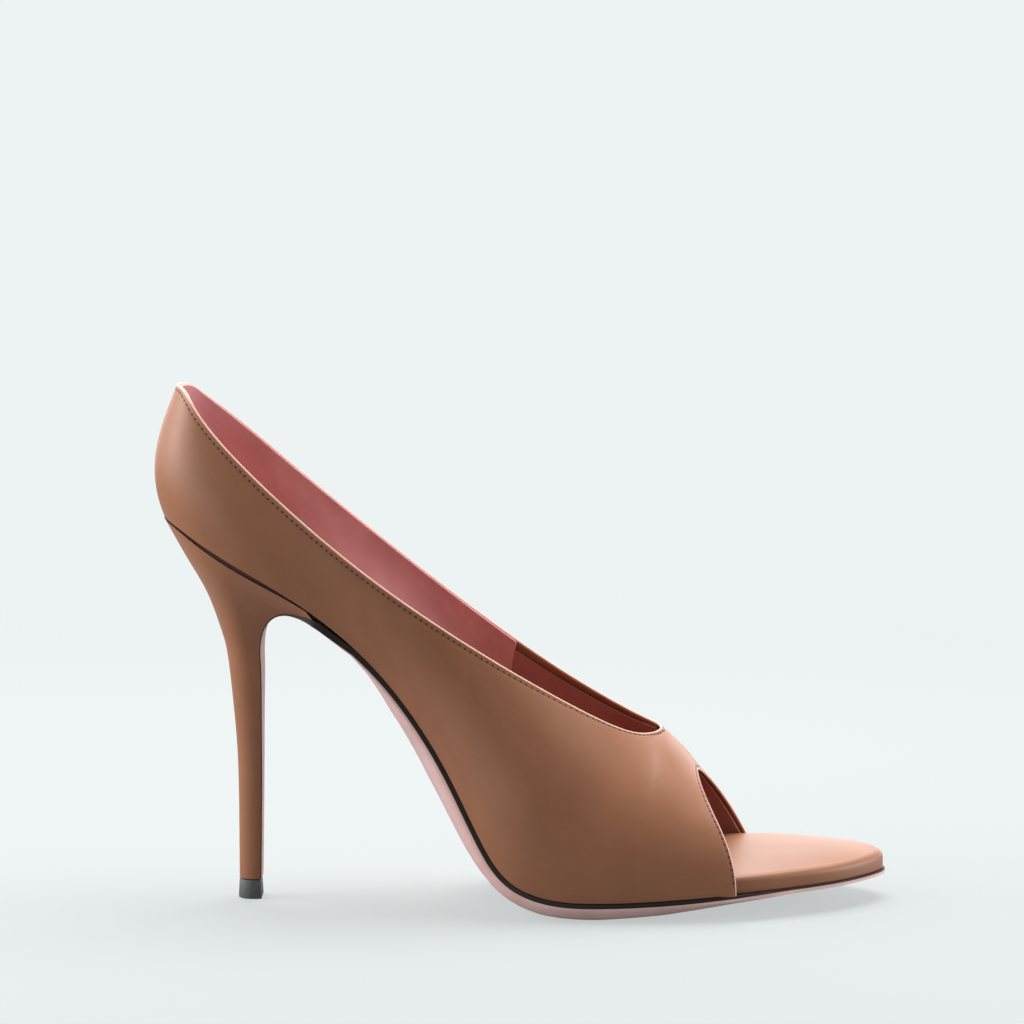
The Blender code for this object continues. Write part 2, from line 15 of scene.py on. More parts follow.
import bmesh
import bpy
import numpy as np
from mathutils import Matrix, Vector


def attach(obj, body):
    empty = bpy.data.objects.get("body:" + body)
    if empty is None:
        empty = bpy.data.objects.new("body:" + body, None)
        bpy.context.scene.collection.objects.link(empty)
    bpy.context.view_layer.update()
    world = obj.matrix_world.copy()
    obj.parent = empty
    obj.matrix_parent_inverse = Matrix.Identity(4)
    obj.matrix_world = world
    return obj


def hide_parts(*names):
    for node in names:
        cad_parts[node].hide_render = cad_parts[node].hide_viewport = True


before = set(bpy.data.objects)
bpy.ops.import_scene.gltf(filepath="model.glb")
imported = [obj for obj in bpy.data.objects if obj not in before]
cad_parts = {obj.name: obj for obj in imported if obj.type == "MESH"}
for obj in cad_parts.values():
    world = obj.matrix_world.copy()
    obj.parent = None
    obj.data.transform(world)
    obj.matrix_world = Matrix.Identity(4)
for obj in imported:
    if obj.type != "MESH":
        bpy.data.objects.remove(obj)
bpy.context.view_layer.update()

Array = np.ndarray
Material = bpy.types.Material
Socket = bpy.types.NodeSocket
LOG = logging.getLogger("pump")
MM = 0.001
BODY = "root"
SEARCH_STEPS = 1200     # places at which a line is read to find one on it
SMALL_STEP = 0.05       # half the distance over which a sheet's direction is taken, mm
SMALL_SHARE = 1e-3      # half the row or rise over which a wall's direction is taken
BLOCK = 1500            # points that are measured at one go
DROP_ROUNDS = 6         # corrections when a point is dropped onto a bent sheet
TINY = 1e-12            # least length that is divided by
MERGE = 2e-6            # points closer than this become one, m
SHARP_ANGLE = 40        # edges sharper than this stay sharp, degrees
WAVE_RATE = 20          # radians of Blender's wave texture to a unit of its place
NOISE_ROUGHNESS = 0.55
FINE_BUMP = 0.0001      # depth of a fine grain, m
RAMP_ENDS = (0.3, 0.7)  # values of a noise between which a colour changes


class Side(Enum):
    """The two sides of the foot, with the sign of Y."""

    LATERAL = -1
    MEDIAL = 1


# Orders of both sides' points in a line round the heel, and in one over the ridge at the toe.
ROUND_HEEL = {Side.MEDIAL: slice(None, 0, -1), Side.LATERAL: slice(None)}
OVER_RIDGE = {Side.MEDIAL: slice(None), Side.LATERAL: slice(-2, None, -1)}


class FeatherRow(NamedTuple):
    """A row of the feather line, in % of the length, of the ball's width and of the climb to the seat.

    The bottom's dome, the sole's edge and its crown are in mm.
    """

    station: float
    lateral: float
    medial: float
    climb: float
    dome: float
    edge: float
    crown: float


class WallRow(NamedTuple):
    """A section of the upper: its top edge in %, the feather row it stands on, and its shape.

    The lean at its foot and the slope at its edge are in degrees. The pulls say how far it keeps them, and
    upright how far it leaves the sole straight up, as shares.
    """

    station: float
    lateral: float
    medial: float
    lateral_rise: float
    medial_rise: float
    stand: float
    lean: float
    slope: float
    foot_pull: float
    edge_pull: float
    upright: float


class TailRow(NamedTuple):
    """A place on the outsole's flap and bend: x and z, half widths and thickness, mm."""

    x: float
    z: float
    lateral: float
    medial: float
    thick: float


class HeelRow(NamedTuple):
    """A section of the heel: its back, how far up the flap its front lies, half widths, rounded share."""

    back_x: float
    back_z: float
    flap: float
    half_width: float
    front_half: float
    round_share: float


@dataclass(frozen=True)
class Sizes:
    """Driving dimensions of the pump, mm."""

    length: float = 212.0
    ball_width: float = 76.0
    seat_height: float = 111.8
    back_height: float = 39.0
    instep_height: float = 50.2
    tread_edge: float = 5.6
    wall: float = 1.6
    gap: float = 0.3
    insole_thick: float = 5.2
    insole_round: float = 1.7
    sole_inset: float = 0.15
    toe_inset: float = 1.35
    sole_bevel: float = 3.6
    full_bevel_width: float = 60.0
    least_bevel: float = 0.15
    flap_thick: float = 0.8
    lift_height: float = 5.6
    lift_spread: float = 0.3
    lift_round: float = 0.6
    skived: float = 0.36
    leave_x: float = 58.0
    lip_x: float = 46.8
    middle_x: float = 106.2
    medial_toe_reach: float = 0.3
    lateral_toe_cut: float = 0.55
    medial_toe_cut: float = 0.34
    medial_upright: float = 0.22
    heel_round_rows: float = 3.6


SIZES = Sizes()
FEATHER = (
    FeatherRow(1.3, 0.0, 0.0, 100.6, 0.0, 1.7, 0.0),
    FeatherRow(2.6, 13.8, 13.8, 99.5, 0.0, 1.7, 0.0),
    FeatherRow(6.1, 24.3, 24.1, 95.5, 0.0, 1.7, 0.0),
    FeatherRow(12.3, 30.3, 29.7, 88.3, 0.0, 1.7, 0.0),
    FeatherRow(20.3, 30.7, 28.9, 78.5, 0.0, 1.7, 0.0),
    FeatherRow(28.3, 28.9, 25.8, 65.3, 0.7, 1.6, 0.6),
    FeatherRow(34.4, 29.5, 24.5, 51.2, 2.6, 1.7, 1.5),
    FeatherRow(40.1, 33.2, 26.7, 33.4, 3.2, 1.7, 2.0),
    FeatherRow(44.6, 38.2, 32.2, 15.6, 2.5, 1.7, 2.4),
    FeatherRow(48.6, 43.2, 38.8, 4.8, 1.2, 1.7, 3.0),
    FeatherRow(52.8, 46.8, 44.1, 1.1, 0.5, 1.7, 3.6),
    FeatherRow(60.4, 50.0, 49.0, 0.0, 0.2, 1.7, 3.7),
    FeatherRow(69.3, 49.1, 50.2, 0.6, 0.1, 1.6, 3.0),
    FeatherRow(79.2, 44.7, 46.8, 1.7, 0.0, 1.4, 1.2),
    FeatherRow(87.3, 35.8, 39.2, 2.3, 0.0, 1.2, 0.5),
    FeatherRow(93.9, 24.5, 28.9, 2.6, 0.0, 1.1, 0.2),
    FeatherRow(98.6, 11.3, 17.6, 2.8, 0.0, 1.0, 0.1),
    FeatherRow(101.0, -3.2, 3.2, 2.9, 0.0, 1.0, 0.0),
)
TOE_FROM, TOE_TO = 13, 14   # feather rows between which the outsole's edge is drawn in for the open toe
WALLS = (
    WallRow(3.2, 0.0, 0.0, 100.0, 100.0, 0.0, 23, 67, 0.40, 0.34, 0.0),
    WallRow(4.4, 13.2, 13.2, 98.8, 99.2, 1.0, 22, 70, 0.40, 0.34, 0.0),
    WallRow(6.7, 21.1, 21.1, 92.1, 95.1, 2.0, 20, 72, 0.38, 0.34, 0.0),
    WallRow(11.3, 27.0, 27.0, 81.0, 87.0, 3.0, 18, 78, 0.36, 0.34, 0.0),
    WallRow(19.8, 32.2, 32.2, 64.2, 71.2, 4.2, 18, 83, 0.36, 0.34, 0.0),
    WallRow(31.1, 35.9, 35.9, 45.1, 51.4, 5.5, 25, 84, 0.36, 0.34, 0.0),
    WallRow(44.3, 35.6, 35.6, 26.4, 30.0, 7.2, 26, 70, 0.36, 0.34, 0.1),
    WallRow(55.2, 31.8, 32.9, 12.6, 14.2, 9.0, 18, 49, 0.38, 0.36, 0.3),
    WallRow(63.2, 23.7, 27.0, 3.3, 4.7, 10.4, 11, 33, 0.40, 0.37, 0.5),
    WallRow(67.5, 13.2, 17.8, 0.2, 1.0, 11.2, 8, 18, 0.41, 0.38, 0.7),
    WallRow(69.5, -2.6, 2.6, 0.0, 0.0, 11.7, 7, 2, 0.42, 0.39, 0.9),
    WallRow(71.3, -2.6, 2.6, -3.5, -3.5, 12.1, 6, 0, 0.43, 0.40, 1.0),
    WallRow(73.3, -2.6, 2.6, -8.1, -8.1, 12.5, 5, 0, 0.44, 0.40, 1.0),
    WallRow(74.6, -2.6, 2.6, -12.6, -12.6, 13.0, 4, 0, 0.45, 0.40, 1.0),
)
THROAT = 10                 # the row of WALLS where the collar ends
TOE_ROW = len(WALLS) - 1    # the row of WALLS at the toe opening
TOE_CUT_FROM = 11           # the row of WALLS from which the toe opening's cut tells
WALL_SHAPE = ("stand", "lean", "slope", "foot_pull", "edge_pull", "upright")    # what shapes a section
TAIL = (
    TailRow(29.3, SIZES.lift_height + SIZES.gap, 3.9, 3.9, SIZES.flap_thick),
    TailRow(29.6, 24.0, 4.3, 4.3, SIZES.flap_thick),
    TailRow(29.8, 42.0, 5.0, 5.0, SIZES.flap_thick),
    TailRow(29.9, 57.0, 6.1, 6.1, SIZES.flap_thick),
    TailRow(29.9, 69.0, 7.9, 7.9, SIZES.flap_thick),
    TailRow(30.1, 77.0, 9.8, 9.8, SIZES.flap_thick),
    TailRow(31.7, 81.8, 11.8, 11.8, SIZES.flap_thick),
    TailRow(34.8, 85.1, 14.0, 14.0, SIZES.flap_thick),
    TailRow(38.6, 86.3, 16.3, 16.2, 0.9),
    TailRow(42.8, 86.0, 19.2, 18.6, 1.2),
    TailRow(47.4, 84.5, 22.0, 20.4, 1.75),
    TailRow(52.5, 80.9, 22.2, 20.0, 1.65),
)
HEEL = (
    HeelRow(23.7, SIZES.lift_height + SIZES.gap, 0.0, 4.1, 3.8, 0.76),
    HeelRow(23.7, 24.0, 18.0, 4.5, 4.2, 0.74),
    HeelRow(23.4, 42.0, 36.0, 5.2, 4.9, 0.72),
    HeelRow(22.3, 57.0, 51.0, 6.3, 6.0, 0.70),
    HeelRow(20.8, 71.1, 64.5, 8.4, 8.1, 0.66),
    HeelRow(19.2, 78.2, 70.9, 10.0, 9.7, 0.62),
    HeelRow(16.9, 85.2, 76.0, 12.2, 11.6, 0.58),
    HeelRow(13.9, 92.3, 80.4, 14.8, 13.8, 0.52),
    HeelRow(9.9, 99.3, 85.5, 17.8, 16.3, 0.46),
)
SKIVED_TO = 8           # the row of TAIL up to which the flap is skived thin
SHEET_STEP = 4.0        # distance between the knots of the outsole's line along the bottom, mm
FLOOR_LIMIT = (-np.inf, -np.inf, 0.0)   # least x, y and z of the outsole


def spline(knots: Array, values: Array, at: Array) -> Array:
    """Natural cubic spline: cubic pieces through the values, with equal slope and bend where they meet.

    Args:
        knots: growing places of the values.
        values: one value, or one array, for each knot.
        at: places to read, of any shape.

    Returns:
        The values there, with the axes of at first.
    """
    knots = np.asarray(knots, float)
    values = np.asarray(values, float)
    at = np.asarray(at, float)
    extra = (1,) * (values.ndim - 1)
    step = np.diff(knots)
    rise = np.diff(values, axis=0) / step.reshape((-1,) + extra)
    count = len(knots)
    inner = np.arange(1, count - 1)
    matrix = np.eye(count)
    matrix[inner, inner - 1] = step[:-1]
    matrix[inner, inner] = 2 * (step[:-1] + step[1:])
    matrix[inner, inner + 1] = step[1:]
    right = np.zeros_like(values)
    right[1:-1] = 6 * np.diff(rise, axis=0)
    bend = np.linalg.solve(matrix, right.reshape(count, -1)).reshape(values.shape)
    i = np.clip(np.searchsorted(knots, at, side="right") - 1, 0, count - 2)
    left = (at - knots[i]).reshape(at.shape + extra)
    span = step[i].reshape(left.shape)
    slope = rise[i] - span * (2 * bend[i] + bend[i + 1]) / 6
    return values[i] + left * (slope + left * (bend[i] / 2 + left * (bend[i + 1] - bend[i]) / (6 * span)))


def closed_spline(lateral: Array, medial: Array, side: Side, at: Array) -> Array:
    """Smooth closed line through the rows of both sides, read on one side at row numbers."""
    last = len(lateral) - 1
    loop = list(lateral) + list(medial[last - 1:0:-1])
    turns = loop * 3
    at = np.asarray(at, float)
    place = at if side is Side.LATERAL else len(loop) - at
    return spline(np.arange(len(turns)), turns, place + len(loop))


def column(rows: tuple, name: str) -> Array:
    """One named column of a table."""
    return np.array([getattr(row, name) for row in rows], float)


def percent(rows: tuple, name: str, whole: float) -> Array:
    """A column of a table that is in per cent of a whole size."""
    return column(rows, name) * whole / 100


def between(rows: tuple, steps: int) -> Array:
    """Row numbers of a table with a number of steps from each row to the next."""
    return np.linspace(0, len(rows) - 1, (len(rows) - 1) * steps + 1)


def unit(vectors: Array) -> Array:
    """Vectors of length one, along the last axis."""
    return vectors / np.maximum(np.linalg.norm(vectors, axis=-1, keepdims=True), TINY)


def run_length(points: Array, axis: int = 0) -> Array:
    """Length along lines of points that run along one axis of a grid, 0 at their first points."""
    steps = np.linalg.norm(np.diff(points, axis=axis), axis=-1)
    return np.insert(np.cumsum(steps, axis=axis), 0, 0.0, axis=axis)


def read_line(line: Array, length: Array, at: Array) -> Array:
    """Points of a line at lengths along it, straight between the points that it has."""
    return np.stack([np.interp(at, length, line[:, k]) for k in range(3)], axis=-1)


def stretches(ends: tuple, steps: tuple) -> Array:
    """Places from the first end to the last, with a number of even steps in each stretch between ends."""
    parts = [np.linspace(low, high, count + 1)[1:] for low, high, count in zip(ends, ends[1:], steps)]
    return np.concatenate([ends[:1], *parts])


def wall_value(name: str, rows: Array) -> Array:
    """A column of the table of walls, drawn smoothly through its rows, at row numbers."""
    return spline(np.arange(len(WALLS)), column(WALLS, name), rows)


def smooth_step(low: float, high: float, at: Array) -> Array:
    """0 below low, 1 above high, and 3 t^2 - 2 t^3 between them."""
    share = np.clip((np.asarray(at, float) - low) / (high - low), 0, 1)
    return share * share * (3 - 2 * share)


def inset(loop: Array, depth: Array) -> Array:
    """A closed flat loop, each point moved along the loop's inward normal by a depth."""
    run = unit(np.roll(loop, -1, axis=0) - np.roll(loop, 1, axis=0))
    inward = np.stack([-run[:, 1], run[:, 0]], axis=-1)
    return loop + inward * np.reshape(depth, (-1, 1))


def distance_to_line(points: Array, line: Array) -> Array:
    """Distance of points from a line of straight stretches.

    Each point is dropped onto every stretch, and the shortest drop counts.

    Args:
        points: points of any shape, x, y and z last.
        line: the line's points in order.

    Returns:
        One distance for each point, mm.
    """
    starts = line[:-1]
    run = line[1:] - starts
    size = np.maximum(np.sum(run ** 2, axis=1), TINY)
    flat = points.reshape(-1, 3)
    found = []
    for block in np.array_split(flat, len(flat) // BLOCK + 1):
        offset = block[:, None] - starts
        share = np.clip(np.sum(offset * run, axis=2) / size, 0, 1)
        drop = offset - share[..., None] * run
        found.append(np.sqrt(np.min(np.sum(drop ** 2, axis=2), axis=1)))
    return np.concatenate(found).reshape(points.shape[:-1])


class Sheet:
    """A sheet bent along a line in the side view and straight across."""

    def __init__(self, line: Array) -> None:
        """Keep the line, a row of x and z for each knot, with the length along it."""
        self.line = np.asarray(line, float)
        self.knots = run_length(self.line)
        self.length = float(self.knots[-1])

    def point(self, along: Array) -> Array:
        """The line's x and z at a length along it."""
        return spline(self.knots, self.line, along)

    def along(self, x: Array) -> Array:
        """Length along the line at which it reaches x, where x grows along the line."""
        fine = np.linspace(0.0, self.length, SEARCH_STEPS)
        return np.interp(x, self.point(fine)[:, 0], fine)

    def normal(self, along: Array) -> Array:
        """The line's upward normal, x and z."""
        run = unit(self.point(np.asarray(along) + SMALL_STEP) - self.point(np.asarray(along) - SMALL_STEP))
        return np.stack([-run[..., 1], run[..., 0]], axis=-1)

    def place(self, along: Array, across: Array, height: Array) -> Array:
        """Points of the shoe at a length along, a distance across and a height off the sheet."""
        along, across, height = np.broadcast_arrays(along, across, height)
        spot = self.point(along) + self.normal(along) * height[..., None]
        return np.stack([spot[..., 0], across, spot[..., 1]], axis=-1)


class Last:
    """The form that the shoe is made on: its feather line, its bottom and the upper's sections."""

    def __init__(self, sizes: Sizes) -> None:
        """Work out the bottom and the outsole's line from the tables."""
        self.sizes = sizes
        self.stations = percent(FEATHER, "station", sizes.length)
        climb = percent(FEATHER, "climb", sizes.seat_height - sizes.tread_edge)
        self.bottom = Sheet(np.stack([self.stations, sizes.tread_edge + climb], axis=-1))
        start = self.bottom.along(sizes.leave_x)
        count = int((self.bottom.length - start) / SHEET_STEP)
        line = self.bottom.point(np.linspace(start, self.bottom.length, count))
        tail = np.stack([column(TAIL, "x"), column(TAIL, "z")], axis=-1)
        self.sole = Sheet(np.concatenate([tail, line]))

    def feather_x(self, at: Array) -> Array:
        """Distance from the heel's back at feather row numbers."""
        return closed_spline(self.stations, self.stations, Side.LATERAL, at)

    def feather_y(self, side: Side, at: Array) -> Array:
        """Distance from the middle line to the feather line on one side, signed."""
        lateral = -percent(FEATHER, "lateral", self.sizes.ball_width)
        medial = percent(FEATHER, "medial", self.sizes.ball_width)
        return closed_spline(lateral, medial, side, at)

    def feather_row(self, x: Array) -> Array:
        """Feather row number at a distance from the heel's back."""
        fine = np.linspace(0, len(FEATHER) - 1, SEARCH_STEPS)
        return np.interp(x, self.feather_x(fine), fine)

    def sole_thick(self, along: Array) -> Array:
        """Thickness of the outsole's edge at a length along it: first the flap, then the bottom."""
        flap = np.interp(along, self.sole.knots[:len(TAIL)], column(TAIL, "thick"))
        bottom = self.feather_value("edge", self.sole.point(along)[..., 0])
        return np.where(along < self.sole.knots[len(TAIL)], flap, bottom)

    def sole_top(self, along: Array) -> Array:
        """Height of the outsole's upper face off its line: low along the skived flap, none further on."""
        grown = smooth_step(self.sole.knots[SKIVED_TO], self.sole.knots[len(TAIL) - 2], along)
        skived = self.sole_thick(along) + self.sizes.gap - self.sizes.skived
        return -skived * (1 - grown)

    def feather_value(self, name: str, x: Array) -> Array:
        """A column of the feather table at a distance from the heel's back."""
        return np.interp(x, self.stations, column(FEATHER, name))

    def edge_line(self, side: Side, rows: Array) -> Array:
        """The feather line of one side, flattened: length along the bottom and distance across."""
        return np.stack([self.bottom.along(self.feather_x(rows)), self.feather_y(side, rows)], axis=-1)

    def rail(self, lateral: Array, medial: Array, side: Side, rows: Array) -> Array:
        """A column of the closed collar up to the throat, then of the ridge."""
        end = THROAT + 1
        collar = closed_spline(lateral[:end], medial[:end], side, np.minimum(rows, THROAT))
        own = lateral if side is Side.LATERAL else medial
        ridge = spline(np.arange(THROAT, len(WALLS)), own[THROAT:], np.maximum(rows, THROAT))
        return np.where(rows <= THROAT, collar, ridge)

    def top_edge(self, side: Side, rows: Array) -> Array:
        """The collar of one side, then the ridge of the vamp, at row numbers of the table of walls."""
        sizes = self.sizes
        climb = sizes.seat_height + sizes.back_height - sizes.instep_height
        station = percent(WALLS, "station", sizes.length)
        lateral = -percent(WALLS, "lateral", sizes.ball_width)
        medial = percent(WALLS, "medial", sizes.ball_width)
        lateral_z = sizes.instep_height + percent(WALLS, "lateral_rise", climb)
        medial_z = sizes.instep_height + percent(WALLS, "medial_rise", climb)
        x = self.rail(station, station, side, rows)
        y = self.rail(lateral, medial, side, rows)
        z = self.rail(lateral_z, medial_z, side, rows)
        return np.stack([x, y, z], axis=-1)

    def wall(self, side: Side, rows: Array, rises: Array) -> Array:
        """The upper's outer face.

        Each section is a cubic curve, u^3 foot + 3 u^2 v low + 3 u v^2 high + v^3 top with u = 1 - v, from
        the feather line to the top edge. It leaves the foot with the row's lean and comes to the top edge
        with the row's slope.

        Args:
            side: which side of the foot.
            rows: row numbers of the table of walls.
            rises: share of the way from the foot to the top edge, of a shape that goes with rows.

        Returns:
            Points in mm, x, y and z last.
        """
        sizes = self.sizes
        shape = np.broadcast(rows, rises).shape
        rows = np.broadcast_to(rows, shape).ravel()
        v = np.broadcast_to(rises, shape).ravel()[:, None]
        near_toe = np.clip((rows - TOE_CUT_FROM) / (TOE_ROW - TOE_CUT_FROM), 0.0, None) ** 2
        rows = rows + near_toe * self.toe_cut(side, v[:, 0])
        values = {name: wall_value(name, rows)[:, None] for name in WALL_SHAPE}
        ahead = np.clip((rows - THROAT) / (TOE_ROW - THROAT), 0.0, 1.0)
        reach_rows = sizes.medial_toe_reach * ahead ** 2 if side is Side.MEDIAL else 0.0
        foot_rows = values["stand"][:, 0] + reach_rows
        flat = self.edge_line(side, foot_rows)
        foot = self.bottom.place(flat[:, 0], flat[:, 1], 0.0)
        top = self.top_edge(side, rows)
        turn = np.pi / 2 * np.sin(np.pi / 2 * np.clip(foot_rows / sizes.heel_round_rows, 0, 1))
        out = np.stack([-np.cos(turn), side.value * np.sin(turn), np.zeros_like(turn)], axis=-1)
        reach = top - foot
        height = np.linalg.norm(reach, axis=1, keepdims=True)
        rise = unit(reach - out * np.sum(reach * out, axis=1, keepdims=True))
        share = values["upright"] * (sizes.medial_upright if side is Side.MEDIAL else 1.0)
        foot_rise = unit(rise * (1 - share) + np.array([0.0, 0.0, 1.0]) * share)
        lean = np.radians(values["lean"])
        slope = np.radians(values["slope"])
        low = foot + height * values["foot_pull"] * (np.sin(lean) * out + np.cos(lean) * foot_rise)
        high = top + height * values["edge_pull"] * (np.cos(slope) * out - np.sin(slope) * rise)
        u = 1 - v
        curve = u ** 3 * foot + 3 * u ** 2 * v * low + 3 * u * v ** 2 * high + v ** 3 * top
        return curve.reshape(shape + (3,))

    def toe_cut(self, side: Side, rises: Array) -> Array:
        """Rows by which the toe opening's edge lies ahead of its section: a sine back, or a cubic ahead."""
        if side is Side.LATERAL:
            return -self.sizes.lateral_toe_cut * np.sin(np.pi * np.clip(rises, 0, 1) ** 2)
        return self.sizes.medial_toe_cut * (1 - rises ** 3)

    def wall_normal(self, side: Side, rows: Array, rises: Array) -> Array:
        """Outward normal of the upper: the cross product of its directions along and up."""
        along = self.wall(side, rows + SMALL_SHARE, rises) - self.wall(side, rows - SMALL_SHARE, rises)
        up = self.wall(side, rows, rises + SMALL_SHARE) - self.wall(side, rows, rises - SMALL_SHARE)
        return unit(np.cross(along, up)) * -side.value


class Piece:
    """Points, faces, cloth places and finishes of one piece, gathered grid by grid."""

    def __init__(self, name: str) -> None:
        """Start a named piece with nothing in it."""
        self.name = name
        self.points: list[Array] = []
        self.spots: list[Array] = []
        self.faces: list[Array] = []
        self.finishes: list[Array] = []
        self.count = 0

    def add(self, points: Array, spots: Array) -> Array:
        """Take in points, mm, and their places on the cloth, mm.

        Args:
            points: points of any shape, x, y and z last.
            spots: places on the cloth, of the same shape, along and across last.

        Returns:
            The points' numbers, of the same shape.
        """
        shape = points.shape[:-1]
        flat = points.reshape(-1, 3)
        self.points.append(flat)
        self.spots.append(np.broadcast_to(spots, shape + (2,)).reshape(-1, 2))
        first = self.count
        self.count += len(flat)
        return np.arange(first, self.count).reshape(shape)

    def quads(self, numbers: Array, finish: Array = 0) -> None:
        """Faces between neighbours of one or more grids of point numbers, with one finish or one a column."""
        near, far = numbers[..., :-1, :], numbers[..., 1:, :]
        corners = np.stack([near[..., :-1], near[..., 1:], far[..., 1:], far[..., :-1]], axis=-1)
        self.faces.append(corners.reshape(-1, 4))
        self.finishes.append(np.broadcast_to(finish, corners.shape[:-1]).ravel())

    def ring_quads(self, rings: Array, finish: Array = 0) -> None:
        """Faces between closed rings of point numbers."""
        self.quads(np.concatenate([rings, rings[:, :1]], axis=1), finish)

    def make(self, materials: list, turn_out: bool = False) -> bpy.types.Object:
        """Turn what was gathered into an object that rides on the shoe, as place does."""
        made = self.place(materials, turn_out)
        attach(made, BODY)
        return made

    def place(self, materials: list, turn_out: bool = False) -> bpy.types.Object:
        """Turn what was gathered into an object.

        Args:
            materials: the finishes, in the order of their numbers.
            turn_out: True for a closed piece whose faces still have to be turned outwards.

        Returns:
            The object, at the origin.
        """
        points = (np.concatenate(self.points) - (SIZES.middle_x, 0.0, 0.0)) * MM
        faces = np.concatenate(self.faces).astype(np.int32)
        finishes = np.concatenate(self.finishes).astype(np.int32)
        spots = np.concatenate(self.spots)
        own = faces != np.roll(faces, 1, axis=1)
        whole = np.sum(own, axis=1) > 2
        corners = faces[whole][own[whole]]
        sizes = np.sum(own[whole], axis=1)
        mesh = bpy.data.meshes.new(self.name)
        mesh.vertices.add(len(points))
        mesh.vertices.foreach_set("co", points.astype(np.float32).ravel())
        mesh.loops.add(len(corners))
        mesh.loops.foreach_set("vertex_index", corners)
        mesh.polygons.add(len(sizes))
        mesh.polygons.foreach_set("loop_start", (np.cumsum(sizes) - sizes).astype(np.int32))
        mesh.polygons.foreach_set("material_index", finishes[whole])
        mesh.update(calc_edges=True)
        layer = mesh.uv_layers.new(name="cloth")
        layer.data.foreach_set("uv", spots[corners].astype(np.float32).ravel())
        work = bmesh.new()
        work.from_mesh(mesh)
        bmesh.ops.remove_doubles(work, verts=work.verts, dist=MERGE)
        loose = [vertex for vertex in work.verts if not vertex.link_faces]
        bmesh.ops.delete(work, geom=loose, context="VERTS")
        if turn_out:
            bmesh.ops.recalc_face_normals(work, faces=work.faces)
        work.to_mesh(mesh)
        work.free()
        mesh.shade_smooth()
        mesh.set_sharp_from_angle(angle=math.radians(SHARP_ANGLE))
        for material in materials:
            mesh.materials.append(material)
        made = bpy.data.objects.new(self.name, mesh)
        bpy.context.scene.collection.objects.link(made)
        LOG.info("%s: %d points, %d faces", self.name, len(mesh.vertices), len(mesh.polygons))
        return made


class Graph:
    """The nodes of one material."""

    def __init__(self, name: str) -> None:
        """Start a material with its Principled shader."""
        self.material = bpy.data.materials.new(name)
        self.material.use_nodes = True
        self.nodes = self.material.node_tree.nodes
        self.links = self.material.node_tree.links
        self.shader = self.nodes["Principled BSDF"]

    def node(self, kind: str, inputs: dict | None = None, **settings: object) -> bpy.types.Node:
        """A node with its settings, and its inputs set or linked.

        Args:
            kind: Blender's name of the node, without its leading ShaderNode.
            inputs: values or output sockets for the inputs, by name or number.
            settings: the node's own options.

        Returns:
            The node.
        """
        made = self.nodes.new("ShaderNode" + kind)
        for key, value in settings.items():
            setattr(made, key, value)
        self.feed(made, inputs or {})
        return made

    def feed(self, node: bpy.types.Node, inputs: dict) -> None:
        """Set or link inputs of a node."""
        for key, value in inputs.items():
            if isinstance(value, Socket):
                self.links.new(value, node.inputs[key])
            else:
                node.inputs[key].default_value = value

    def noise(self, place: Socket, scale: float, detail: float) -> Socket:
        """Soft noise, as many to a unit of the place as the scale says."""
        inputs = {"Vector": place, "Scale": scale, "Detail": detail, "Roughness": NOISE_ROUGHNESS}
        return self.node("TexNoise", inputs).outputs["Fac"]

    def wave(self, place: Socket, spacing: float, direction: str, distortion: float,
             detail: float = 2.0) -> Socket:
        """Waves at a spacing in the place's own unit, bent by the distortion."""
        scale = 2 * math.pi / WAVE_RATE / spacing
        inputs = {"Vector": place, "Scale": scale, "Distortion": distortion, "Detail": detail}
        return self.node("TexWave", inputs, bands_direction=direction).outputs["Fac"]

    def bump(self, height: Socket, strength: float, distance: float = FINE_BUMP) -> Socket:
        """A normal bent by a height of 0 to 1, as deep as the distance, m."""
        inputs = {"Height": height, "Strength": strength, "Distance": distance}
        return self.node("Bump", inputs).outputs["Normal"]

    def ramp(self, value: Socket, low: tuple, high: tuple) -> Socket:
        """A colour from low to high as the value goes over the middle of its range."""
        made = self.node("ValToRGB", {"Fac": value})
        for stop, place, colour in zip(made.color_ramp.elements, RAMP_ENDS, (low, high)):
            stop.position = place
            stop.color = (*colour, 1.0)
        return made.outputs["Color"]

    def scaled(self, value: Socket, start: float, end: float) -> Socket:
        """The value's 0 to 1 turned into start to end."""
        return self.node("MapRange", {"Value": value, "To Min": start, "To Max": end}).outputs["Result"]

    def math(self, kind: str, one: object, two: object) -> Socket:
        """A sum, product or other simple operation on two values."""
        return self.node("Math", {0: one, 1: two}, operation=kind).outputs[0]


@dataclass(frozen=True)
class Finish:
    """A procedural material on the cloth's places, mm, whose colour runs from low to high."""

    name: str
    low: tuple
    high: tuple

    def inputs(self, graph: Graph, place: Socket) -> dict:
        """What the shader's inputs get, by name: each kind of finish has its own."""
        raise NotImplementedError

    def material(self) -> Material:
        """The material with its shader fed."""
        graph = Graph(self.name)
        place = graph.node("TexCoord").outputs["UV"]
        graph.feed(graph.shader, self.inputs(graph, place))
        return graph.material


